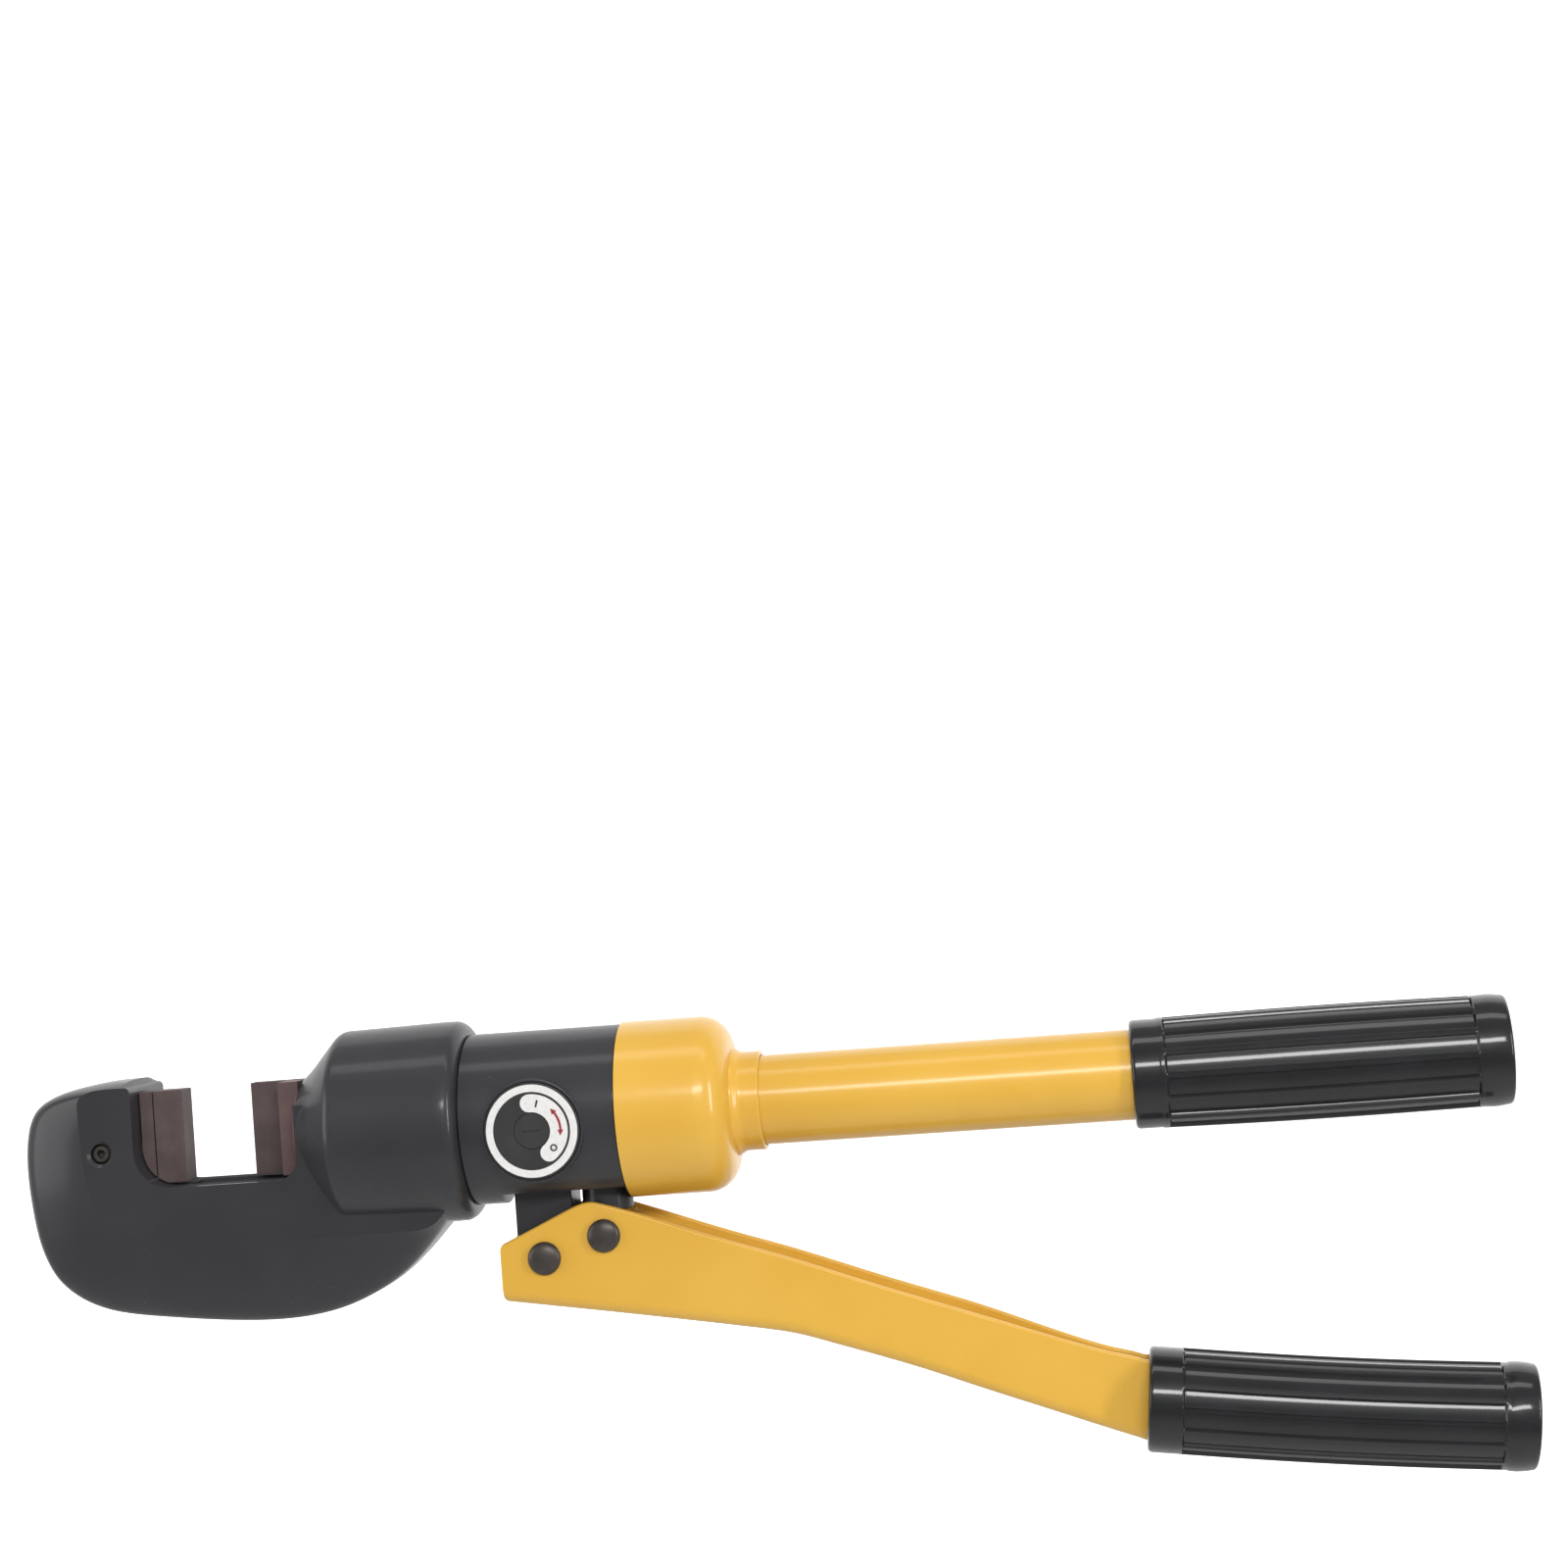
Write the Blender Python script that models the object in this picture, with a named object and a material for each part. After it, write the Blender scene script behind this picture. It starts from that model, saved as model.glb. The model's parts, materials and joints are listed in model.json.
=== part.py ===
"""Hand-pumped hydraulic rebar cutter for bars up to 16 mm.

Metres, +Z up.  The origin is on the cutting face of the fixed blade, where the ram's axis meets it.
+X runs along the ram's axis to the handles, the jaw opens upwards and the release dial is on the -Y side.
Dimensions are written in millimetres and turned into metres where a mesh is made.
"""
import math

import bmesh
import bpy
from mathutils import Matrix, Vector

MM = 0.001
GAP = 0.3                      # clearance between two pieces that touch

# ---- driving dimensions, in millimetres ----------------------------------------------------------
HEAD_HALF = 18.0               # half thickness of the flat jaw frame
JAW_WALL_X = -15.3             # wall behind the fixed blade
JAW_FLOOR_Z = -14.7
JAW_TOP_Z = 20.0
JAW_FILLET_R = 12.5            # rounded corner behind the fixed blade
BAR_GAP = 20.9                 # room for a bar between the blades at rest
BLADE_NEAR_Y = -9.0
SHEAR_Y = 1.85                 # plane in which the two blades pass
BLADE_TOP_Z = 17.6
BLADE_LOW_Z = -13.8
BARREL_R = 33.8
BARREL_FRONT_X = 41.0
BARREL_REAR_X = 99.3
RAM_R = 16.5
RAM_STEP_X = 33.6              # front of the ram's square nose
PISTON_R = 21.5
PISTON_FRONT_X = 105.0
PISTON_REAR_X = 114.0
SOCKET_FRONT_X = 60.0          # bottom of the thread socket in the head
SPIGOT_R = 27.6
CYLINDER_R = 28.8
CYLINDER_REAR_X = 152.0
CAP_R = 29.5
COLLAR_R = 16.6
COLLAR_REAR_X = 198.5
TUBE_R = 15.0
TUBE_BORE_R = 12.8
TUBE_FRONT_X = 183.0
TUBE_REAR_X = 440.0
GRIP_FRONT_X = 321.7
GRIP_LENGTH = 122.7
LOWER_GRIP_LENGTH = 125.3
FLUTES = 14
VALVE_X, VALVE_Z = 124.4, -3.0             # axis of the release valve, along Y
DIAL_R = 16.0
DIAL_BOSS_R = 17.2
PIVOT_X, PIVOT_Z = 122.3, -46.8            # lever pin
CRANK_X, CRANK_Z = 142.9, -40.5            # pin that drives the pump plunger
PIVOT_PIN_R, CRANK_PIN_R, PIN_HEAD_R = 4.0, 2.9, 5.6
LEVER_HALF = 13.0              # half width of the lever channel
LEVER_HALF_AT_GRIP = 6.6
LEVER_WALL = 2.7
LOWER_GRIP_FRONT = (318.5, -106.8)
LOWER_GRIP_SLOPE = math.radians(5.9)
PLUNGER_R = 4.0
BOSS_R = 8.6                   # pump boss under the cylinder
BOSS_LOW_Z = -33.0

BIG, MID, SMALL = 40, 24, 16   # facets round a large, a middle and a small circle


# ---- materials -----------------------------------------------------------------------------------
def material(name, colour, roughness, metallic=0.0):
    made = bpy.data.materials.new(name)
    made.use_nodes = True
    shader = made.node_tree.nodes["Principled BSDF"]
    shader.inputs["Base Color"].default_value = (*colour, 1.0)
    shader.inputs["Roughness"].default_value = roughness
    shader.inputs["Metallic"].default_value = metallic
    return made


FINISHES = {
    "black_enamel": ((0.045, 0.046, 0.050), 0.30, 0.0),
    "yellow_enamel": ((0.80, 0.46, 0.065), 0.25, 0.0),
    "black_grip": ((0.025, 0.026, 0.028), 0.38, 0.0),
    "brown_blade": ((0.105, 0.075, 0.070), 0.42, 0.7),
    "dark_steel": ((0.070, 0.064, 0.060), 0.35, 0.8),
    "bright_steel": ((0.62, 0.62, 0.64), 0.22, 1.0),
    "spring_steel": ((0.33, 0.34, 0.36), 0.32, 1.0),
    "ball_steel": ((0.72, 0.72, 0.74), 0.12, 1.0),
    "brass": ((0.70, 0.50, 0.20), 0.30, 1.0),
    "seal_rubber": ((0.020, 0.020, 0.022), 0.60, 0.0),
    "bladder_rubber": ((0.035, 0.030, 0.028), 0.65, 0.0),
    "seal_plastic": ((0.70, 0.66, 0.50), 0.45, 0.0),
    "dial_plate": ((0.040, 0.040, 0.042), 0.35, 0.0),
}


# ---- tools ---------------------------------------------------------------------------------------
def clear_scene():
    for old in list(bpy.data.objects):
        bpy.data.objects.remove(old, do_unlink=True)


def finish(name, mesh_maker, finish_name, location=(0.0, 0.0, 0.0), rotation=None):
    """Turn a bmesh made in millimetres into a named object in metres."""
    mesh_maker.verts.ensure_lookup_table()
    bmesh.ops.scale(mesh_maker, vec=(MM, MM, MM), verts=mesh_maker.verts)
    bmesh.ops.recalc_face_normals(mesh_maker, faces=mesh_maker.faces)
    mesh = bpy.data.meshes.new(name)
    mesh_maker.to_mesh(mesh)
    mesh_maker.free()
    mesh.shade_smooth()
    mesh.set_sharp_from_angle(angle=math.radians(35))
    made = bpy.data.objects.new(name, mesh)
    made.location = Vector(location) * MM
    if rotation is not None:
        made.rotation_euler = rotation
    if finish_name:
        colour, roughness, metallic = FINISHES[finish_name]
        label = name + "_" + finish_name
        mesh.materials.append(material(label, colour, roughness, metallic))
    bpy.context.scene.collection.objects.link(made)
    return made


def turn(profile, facets=MID):
    """Spin a profile of (along, radius) points round the X axis; a closed ring when it misses the axis."""
    work = bmesh.new()
    rings = []
    for along, radius in profile:
        if radius <= 0.0:
            rings.append([work.verts.new((along, 0.0, 0.0))])
            continue
        ring = []
        for step in range(facets):
            angle = math.tau * step / facets
            ring.append(work.verts.new((along, radius * math.cos(angle), radius * math.sin(angle))))
        rings.append(ring)
    on_axis = len(rings[0]) == 1 and len(rings[-1]) == 1
    pairs = list(zip(rings, rings[1:]))
    if not on_axis:
        pairs.append((rings[-1], rings[0]))
    for first, second in pairs:
        for step in range(facets):
            after = (step + 1) % facets
            if len(first) == 1:
                work.faces.new((first[0], second[step], second[after]))
            elif len(second) == 1:
                work.faces.new((first[step], second[0], first[after]))
            else:
                work.faces.new((first[step], second[step], second[after], first[after]))
    return work


def aim(work, axis):
    """Turn a mesh that was made along +X so that it lies along +Y or +Z instead."""
    for vertex in work.verts:
        x, y, z = vertex.co
        if axis == "Y":
            vertex.co = (-y, x, z)
        if axis == "Z":
            vertex.co = (-z, y, x)
    return work


def turned(name, profile, finish_name, axis="X", location=(0, 0, 0), facets=MID):
    return finish(name, aim(turn(profile, facets), axis), finish_name, location)


def rod(low, high, radius, chamfer=0.0):
    """Profile of a plain round bar, chamfered at both ends."""
    if chamfer <= 0.0:
        return [(low, 0.0), (low, radius), (high, radius), (high, 0.0)]
    return [(low, 0.0), (low, radius - chamfer), (low + chamfer, radius),
            (high - chamfer, radius), (high, radius - chamfer), (high, 0.0)]


def ring(low, high, outer, inner):
    return [(low, outer), (high, outer), (high, inner), (low, inner)]


def arc(centre, radius, start, end, steps):
    """Points along an arc, angles in degrees."""
    points = []
    for step in range(steps + 1):
        angle = math.radians(start + (end - start) * step / steps)
        points.append((centre[0] + radius * math.cos(angle), centre[1] + radius * math.sin(angle)))
    return points


def smooth_path(points, steps):
    """A Catmull-Rom curve through the points."""
    result = []
    padded = [points[0]] + list(points) + [points[-1]]
    for index in range(len(points) - 1):
        p0, p1, p2, p3 = (Vector(p) for p in padded[index:index + 4])
        for step in range(steps):
            t = step / steps
            point = 0.5 * (2 * p1 + (p2 - p0) * t + (2 * p0 - 5 * p1 + 4 * p2 - p3) * t * t
                           + (3 * p1 - p0 - 3 * p2 + p3) * t ** 3)
            result.append(tuple(point))
    result.append(tuple(points[-1]))
    return result


def prism(outline, low_y, high_y):
    """Extrude an outline of (x, z) points along Y."""
    work = bmesh.new()
    low = [work.verts.new((x, low_y, z)) for x, z in outline]
    high = [work.verts.new((x, high_y, z)) for x, z in outline]
    count = len(outline)
    work.faces.new(low)
    work.faces.new(list(reversed(high)))
    for step in range(count):
        after = (step + 1) % count
        work.faces.new((low[step], high[step], high[after], low[after]))
    return work


def block(low, high):
    outline = [(low[0], low[2]), (high[0], low[2]), (high[0], high[2]), (low[0], high[2])]
    return prism(outline, low[1], high[1])


def hide_guide(guide):
    guide.hide_render = True
    guide.display_type = "WIRE"
    return guide


def combine(target, guide, operation):
    hide_guide(guide)
    change = target.modifiers.new(guide.name, "BOOLEAN")
    change.operation = operation
    change.solver = "EXACT"
    change.object = guide


def cut(target, work, location=(0, 0, 0), rotation=None):
    name = "cut_%s_%d" % (target.name, len(target.modifiers))
    combine(target, finish(name, work, None, location, rotation), "DIFFERENCE")


def join(target, work, location=(0, 0, 0), rotation=None):
    name = "add_%s_%d" % (target.name, len(target.modifiers))
    combine(target, finish(name, work, None, location, rotation), "UNION")


def cut_hole(target, low, high, radius, axis, location, facets=SMALL):
    cut(target, aim(turn(rod(low, high, radius), facets), axis), location)


def bevel(target, width, segments=1, angle=50):
    soft = target.modifiers.new("edges", "BEVEL")
    soft.width = width * MM
    soft.segments = segments
    soft.limit_method = "ANGLE"
    soft.angle_limit = math.radians(angle)


def rest_on_joint(part, joint_empty):
    """Parent a piece to the empty on its joint's axis and keep it where it is."""
    part.parent = joint_empty
    part.matrix_parent_inverse = Matrix.Translation(joint_empty.location).inverted()


def joint_axis(name, location):
    empty = bpy.data.objects.new(name, None)
    empty.location = Vector(location) * MM
    bpy.context.scene.collection.objects.link(empty)
    return empty


# ---- head ----------------------------------------------------------------------------------------
def head_outline():
    """Side view of the jaw frame: for each point its silhouette (x, z) and its place on the flat face."""
    back = smooth_path([(97, -22, 96, -20), (88, -34.4, 86, -33), (73.4, -48.8, 68, -34.2),
                        (58, -57.4, 50, -34.2), (42, -61.8, 34, -33.9), (22, -62.8, 16, -33.4),
                        (-6, -60.4, 0, -33), (-31, -56.2, -13.5, -31.8), (-46.2, -47.6, -22, -28.2),
                        (-53.8, -34.6, -28.6, -21.8), (-57.0, -15.4, -32.2, -10.5), (-57.0, 1.6, -33.2, 1.5),
                        (-53.4, 12.8, -33.6, 11), (-44.4, 18.4, -33.2, 17.0), (-30, 21.4, -28, 19.6),
                        (-17.6, 22, -18, 19.9)], 3)
    inside = arc((JAW_WALL_X - 2.0, JAW_TOP_Z - 2.0), 2.0, 70, 0, 2)
    inside += arc((JAW_WALL_X + JAW_FILLET_R, JAW_FLOOR_Z + JAW_FILLET_R), JAW_FILLET_R, 180, 270, 6)
    inside += arc((BARREL_FRONT_X - 7, JAW_FLOOR_Z + 7), 7, 270, 360, 3)
    inside += [(BARREL_FRONT_X, 10.0), (70.0, 10.0), (96.0, 0.0)]
    return back + [(x, z, x, z) for x, z in inside]


def jaw_frame_mesh():
    """Loft from the silhouette in the middle of the thickness to the two flat faces."""
    outline = head_outline()
    count = len(outline)
    edge_y = 4.0
    levels = []
    for fraction in (1.0, 0.5, 0.2, 0.05, 0.0):
        depth = edge_y + (HEAD_HALF - edge_y) * fraction ** 0.42
        levels.append((-depth, fraction))
    levels += [(-depth, fraction) for depth, fraction in reversed(levels)]
    work = bmesh.new()
    loops = []
    for depth, fraction in levels:
        loop = []
        for rim_x, rim_z, face_x, face_z in outline:
            x = rim_x + (face_x - rim_x) * fraction
            z = rim_z + (face_z - rim_z) * fraction
            loop.append(work.verts.new((x, depth, z)))
        loops.append(loop)
    work.faces.new(loops[0])
    work.faces.new(list(reversed(loops[-1])))
    for first, second in zip(loops, loops[1:]):
        for step in range(count):
            after = (step + 1) % count
            work.faces.new((first[step], second[step], second[after], first[after]))
    return work


def head_frame():
    head = finish("head_frame", jaw_frame_mesh(), "black_enamel")
    cone = [(BARREL_FRONT_X, 0.0), (BARREL_FRONT_X, 17.6), (45.6, 21.8), (50.6, 27.6), (54.4, 32.2), (58.0, 33.3)]
    rim = [(x, r) for x, r in arc((BARREL_REAR_X - 5.0, BARREL_R - 5.0), 5.0, 75, 0, 3)]
    join(head, turn(cone + [(92.0, BARREL_R)] + rim + [(BARREL_REAR_X, 0.0)], BIG))
    bore, socket, groove = RAM_R + GAP, SPIGOT_R + GAP, 19.5
    cut(head, turn([(0.0, 0.0), (0.0, bore), (49.7, bore), (49.7, groove), (53.3, groove), (53.3, bore),
                    (SOCKET_FRONT_X, bore), (SOCKET_FRONT_X, socket), (BARREL_REAR_X + 6, socket),
                    (BARREL_REAR_X + 6, 0.0)], BIG))
    cut_hole(head, -36.0, -12.0, 5.3, "X", (0, -3.5, -1.9))
    screw_seat = [(-30.0, 0.0), (-30.0, 5.3), (-15.9, 3.3), (-3.5, 3.3), (-3.5, 0.0)]
    cut(head, aim(turn(screw_seat, SMALL), "Y"), (-27.0, 0.0, -1.9))
    cut_hole(head, 22.0, 40.0, 2.9, "Y", (93.0, 0.0, 0.0))


def blades():
    centre = (JAW_WALL_X + JAW_FILLET_R, JAW_FLOOR_Z + JAW_FILLET_R)
    radius = JAW_FILLET_R - GAP
    split, low = -10.45, BLADE_LOW_Z

    def angle_at_x(x):
        return 360 - math.degrees(math.acos((x - centre[0]) / radius))

    seat = [(JAW_WALL_X + GAP, BLADE_TOP_Z)] + arc(centre, radius, 180, angle_at_x(split - GAP / 2), 4)
    seat += [(split - GAP / 2, BLADE_TOP_Z)]
    holder = finish("fixed_blade_holder", prism(seat, BLADE_NEAR_Y, SHEAR_Y), "brown_blade")
    join(holder, turn(rod(-35.0, -12.0, 5.0, 0.6), SMALL), (0, -3.5, -1.9))
    floor_angle = 180 + math.degrees(math.asin((centre[1] - low) / radius))
    edge = [(split + GAP / 2, BLADE_TOP_Z)] + arc(centre, radius, angle_at_x(split + GAP / 2), floor_angle, 2)
    edge += [(0.0, low), (0.0, BLADE_TOP_Z)]
    fixed = finish("fixed_blade", prism(edge, BLADE_NEAR_Y, SHEAR_Y), "brown_blade")
    bevel(fixed, 0.25)
    moving = finish("moving_blade",
                    block((BAR_GAP, SHEAR_Y + GAP, BLADE_LOW_Z), (RAM_STEP_X - GAP, 9.0, BLADE_TOP_Z)),
                    "brown_blade")
    join(moving, turn(rod(RAM_STEP_X - 2.0, 46.0, 3.0, 0.4), SMALL), (0, 5.5, 0))
    return moving


def socket_screw(name, finish_name, axis, location, length, radius, socket_r, way=1):
    """A headless screw with a hexagon socket at its outer end, its tip at the location."""
    ends = sorted((0.0, way * length))
    made = turned(name, rod(ends[0], ends[1], radius, 0.4), finish_name, axis, location, SMALL)
    depths = sorted((way * (length - 3.0), way * (length + 1.0)))
    cut_hole(made, depths[0], depths[1], socket_r, axis, location, 6)
    return made


# ---- ram -----------------------------------------------------------------------------------------
def ram():
    body = turned("ram", [(BARREL_FRONT_X - 1.0, 0.0), (BARREL_FRONT_X - 1.0, RAM_R), (PISTON_FRONT_X, RAM_R),
                          (PISTON_FRONT_X, PISTON_R), (108.0, PISTON_R), (108.0, 18.5), (111.3, 18.5),
                          (111.3, PISTON_R), (PISTON_REAR_X, PISTON_R), (PISTON_REAR_X, 0.0)],
                  "brown_blade", facets=BIG)
    nose = block((RAM_STEP_X, BLADE_NEAR_Y, BLADE_LOW_Z), (BARREL_FRONT_X - 0.4, 9.0, BLADE_TOP_Z))
    join(body, nose)
    cut_hole(body, 30.0, 46.5, 3.3, "X", (0, 5.5, 0))
    cut_hole(body, 2.0, 22.0, 2.3, "Z", (37.2, 5.5, 0))
    turned("piston_seal", ring(109.5, 111.0, PISTON_R + 0.15, 18.8), "seal_rubber", facets=BIG)
    turned("piston_backup_ring", ring(108.3, 109.2, PISTON_R + 0.1, 18.8), "seal_plastic", facets=BIG)
    return body


def return_spring():
    """Compression coil, six-sided wire, closed at both tips."""
    low, high, turns, mean, wire = 62.0, PISTON_FRONT_X - GAP - 1.3, 6.0, 19.2, 1.3
    stations, sides = int(turns * 12), 6
    work = bmesh.new()
    loops = []
    for station in range(stations + 1):
        share = station / stations
        angle = math.tau * turns * share
        lift = low + (high - low) * share
        outward = Vector((0.0, math.cos(angle), math.sin(angle)))
        middle = Vector((lift, 0.0, 0.0)) + outward * mean
        loop = []
        for side in range(sides):
            turn_angle = math.tau * side / sides
            point = middle + outward * wire * math.cos(turn_angle) + Vector((wire * math.sin(turn_angle), 0, 0))
            loop.append(work.verts.new(point))
        loops.append(loop)
    for first, second in zip(loops, loops[1:]):
        for side in range(sides):
            after = (side + 1) % sides
            work.faces.new((first[side], second[side], second[after], first[after]))
    work.faces.new(loops[0])
    work.faces.new(list(reversed(loops[-1])))
    return finish("return_spring", work, "spring_steel")


# ---- cylinder and pump ---------------------------------------------------------------------------
def cylinder_body():
    outer = [(SOCKET_FRONT_X + 0.5, 0.0), (SOCKET_FRONT_X + 0.5, SPIGOT_R), (BARREL_REAR_X + GAP, SPIGOT_R),
             (BARREL_REAR_X + GAP, CYLINDER_R), (CYLINDER_REAR_X, CYLINDER_R), (CYLINDER_REAR_X, 24.6),
             (166.0, 24.6), (166.0, 6.0), (180.0, 6.0), (180.0, 2.6), (148.0, 2.6), (148.0, 0.0)]
    body = turned("cylinder_body", outer, "black_enamel", facets=BIG)
    cut(body, block((109.0, -20.0, -40.0), (CYLINDER_REAR_X - 0.6, 20.0, -24.6)))
    dial_boss = [(-28.8, 0.0), (-28.8, DIAL_BOSS_R), (-12.0, DIAL_BOSS_R), (-12.0, 0.0)]
    join(body, aim(turn(dial_boss, MID), "Y"), (VALVE_X, 0, VALVE_Z))
    cut_hole(body, 50.0, PISTON_REAR_X + 1.0, 22.0, "X", (0, 0, 0), BIG)
    dial_seat = [(-40.0, 0.0), (-40.0, DIAL_R + GAP), (-27.8, DIAL_R + GAP), (-27.8, 4.6), (-9.0, 4.6), (-9.0, 0.0)]
    cut(body, aim(turn(dial_seat, MID), "Y"), (VALVE_X, 0, VALVE_Z))
    cut_hole(body, PISTON_REAR_X - 1.0, 134.0, 1.6, "X", (0, 9.0, 1.5), 12)
    cut_hole(body, -1.0, 40.0, 3.6, "Z", (133.0, 9.0, 0))
    cut_hole(body, 4.0, 40.0, 3.6, "Z", (144.5, 9.0, 0))
    cut_hole(body, 12.0, 40.0, 3.6, "Y", (124.4, 0, -8.0))
    lug = [(PIVOT_X - 9.7, -23.2)] + arc((PIVOT_X, PIVOT_Z), 9.7, 180, 360, 9) + [(PIVOT_X + 9.7, -23.2)]
    join(body, prism(lug, -8.7, 8.7))
    cut_hole(body, -12.0, 12.0, PIVOT_PIN_R + GAP, "Y", (PIVOT_X, 0, PIVOT_Z))
    boss = [(BOSS_LOW_Z, 0.0), (BOSS_LOW_Z, BOSS_R - 0.6), (BOSS_LOW_Z + 0.6, BOSS_R), (-21.0, BOSS_R), (-21.0, 0.0)]
    join(body, aim(turn(boss, MID), "Z"), (CRANK_X, 0, 0))
    bores = [(-40.0, 0.0), (-40.0, 7.5), (-28.2, 7.5), (-28.2, 7.2), (-20.0, 7.2), (-20.0, 4.3),
             (-3.5, 4.3), (-3.5, 0.0)]
    cut(body, aim(turn(bores, MID), "Z"), (CRANK_X, 0, 0))
    return body


def ball(name, centre, radius):
    work = bmesh.new()
    bmesh.ops.create_uvsphere(work, u_segments=10, v_segments=6, radius=radius)
    return finish(name, work, "ball_steel", centre)


def coil(name, location, axis, length, mean, wire, turns):
    """A small valve spring, wire of square section, standing on the location."""
    work = bmesh.new()
    stations, sides = int(turns * 8), 4
    loops = []
    for station in range(stations + 1):
        share = station / stations
        angle = math.tau * turns * share
        outward = Vector((0.0, math.cos(angle), math.sin(angle)))
        middle = Vector((wire + (length - 2 * wire) * share, 0, 0)) + outward * mean
        loop = []
        for side in range(sides):
            spin = math.tau * side / sides
            loop.append(work.verts.new(middle + outward * wire * math.cos(spin)
                                       + Vector((wire * math.sin(spin), 0, 0))))
        loops.append(loop)
    for first, second in zip(loops, loops[1:]):
        for side in range(sides):
            after = (side + 1) % sides
            work.faces.new((first[side], second[side], second[after], first[after]))
    work.faces.new(loops[0])
    work.faces.new(list(reversed(loops[-1])))
    return finish(name, aim(work, axis), "spring_steel", location)


def valves():
    ball("discharge_ball", (133.0, 9.0, 2.2), 2.8)
    coil("discharge_spring", (133.0, 9.0, 5.4), "Z", 8.0, 2.2, 0.5, 4)
    socket_screw("discharge_plug", "dark_steel", "Z", (133.0, 9.0, 13.8), 11.0, 3.3, 1.7)
    ball("suction_ball", (144.5, 9.0, 7.2), 2.8)
    coil("suction_spring", (144.5, 9.0, 10.4), "Z", 5.0, 2.2, 0.5, 3)
    socket_screw("suction_plug", "dark_steel", "Z", (144.5, 9.0, 15.8), 9.0, 3.3, 1.7)
    ball("relief_ball", (124.4, 15.2, -8.0), 2.8)
    coil("relief_spring", (124.4, 18.3, -8.0), "Y", 4.0, 2.2, 0.45, 2)
    socket_screw("relief_adjuster", "dark_steel", "Y", (124.4, 22.6, -8.0), 3.6, 3.3, 1.7)


def release_valve():
    face = -29.4
    plate = ring(face, -27.8 - GAP, DIAL_R, 6.3)
    turned("dial_plate", plate, "dial_plate", "Y", (VALVE_X, 0, VALVE_Z), MID)
    knob = turned("release_knob", [(-30.2, 0.0), (-30.2, 5.2), (-29.7, 5.7), (-28.1, 5.7), (-28.1, 0.0)],
                  "black_grip", "Y", (VALVE_X, 0, VALVE_Z), MID)
    cut(knob, block((-3.6, -31.0, -0.5), (3.6, -29.5, 0.5)), (VALVE_X, 0, VALVE_Z))
    needle = turned("release_needle", [(-27.8, 0.0), (-27.8, 4.2), (-19.5, 4.2), (-19.5, 3.2), (-17.5, 3.2),
                                       (-17.5, 4.2), (-12.0, 4.2), (-10.0, 1.2), (-10.0, 0.0)],
                    "bright_steel", "Y", (VALVE_X, 0, VALVE_Z), SMALL)
    oring = turned("release_oring", ring(-19.1, -17.9, 4.25, 3.45), "seal_rubber", "Y",
                   (VALVE_X, 0, VALVE_Z), SMALL)
    return knob, needle, oring


def pump():
    """Gland and seal stay in the boss; the plunger's eye has a slot that lets the crank pin swing."""
    at = (CRANK_X, 0, 0)
    turned("plunger_gland", ring(-27.9, -23.3, 6.9, PLUNGER_R + GAP), "brass", "Z", at, MID)
    turned("plunger_seal", ring(-23.0, -20.3, 6.9, PLUNGER_R + 0.15), "seal_rubber", "Z", at, MID)
    low, high = CRANK_Z - 7.5, CRANK_Z + 5.0
    plunger = turned("pump_plunger", [(low, 0.0), (low, 6.0), (low + 0.8, 6.8), (high - 0.8, 6.8), (high, 6.0),
                                      (high, PLUNGER_R), (-9.1, PLUNGER_R), (-8.5, 3.4), (-8.5, 0.0)],
                     "bright_steel", "Z", at, SMALL)
    for side in (-1, 1):
        flat = block((-10.0, min(side * 5.0, side * 9.0), low - 1), (10.0, max(side * 5.0, side * 9.0), high + 0.1))
        cut(plunger, flat, at)
    reach_back, reach_on, half = 1.5, 0.65, 3.5
    slot = arc((-reach_back, 0), CRANK_PIN_R + 0.6, 90, 270, 8) + arc((reach_on, 0), CRANK_PIN_R + 0.6, -90, 90, 8)
    slot = [(x, max(-half, min(half, z))) for x, z in slot]
    cut(plunger, prism(slot, -8.0, 8.0), (CRANK_X, 0, CRANK_Z))
    return plunger


# ---- handle --------------------------------------------------------------------------------------
def rear_cap():
    front = CYLINDER_REAR_X + GAP
    outer = [(front, CAP_R - 0.5), (front + 0.5, CAP_R)]
    outer += arc((178.3, CAP_R - 10.5), 10.5, 90, 8, 7)
    outer += [(189.8, COLLAR_R + 1.4), (191.6, COLLAR_R), (COLLAR_REAR_X - 1.0, COLLAR_R),
              (COLLAR_REAR_X, COLLAR_R - 0.9)]
    inner = [(COLLAR_REAR_X, TUBE_R + GAP), (181.0, TUBE_R + GAP), (178.5, 16.0), (172.0, 22.5),
             (167.0, 24.9), (front, 24.9)]
    turned("rear_cap", outer + inner, "yellow_enamel", facets=BIG)


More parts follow.
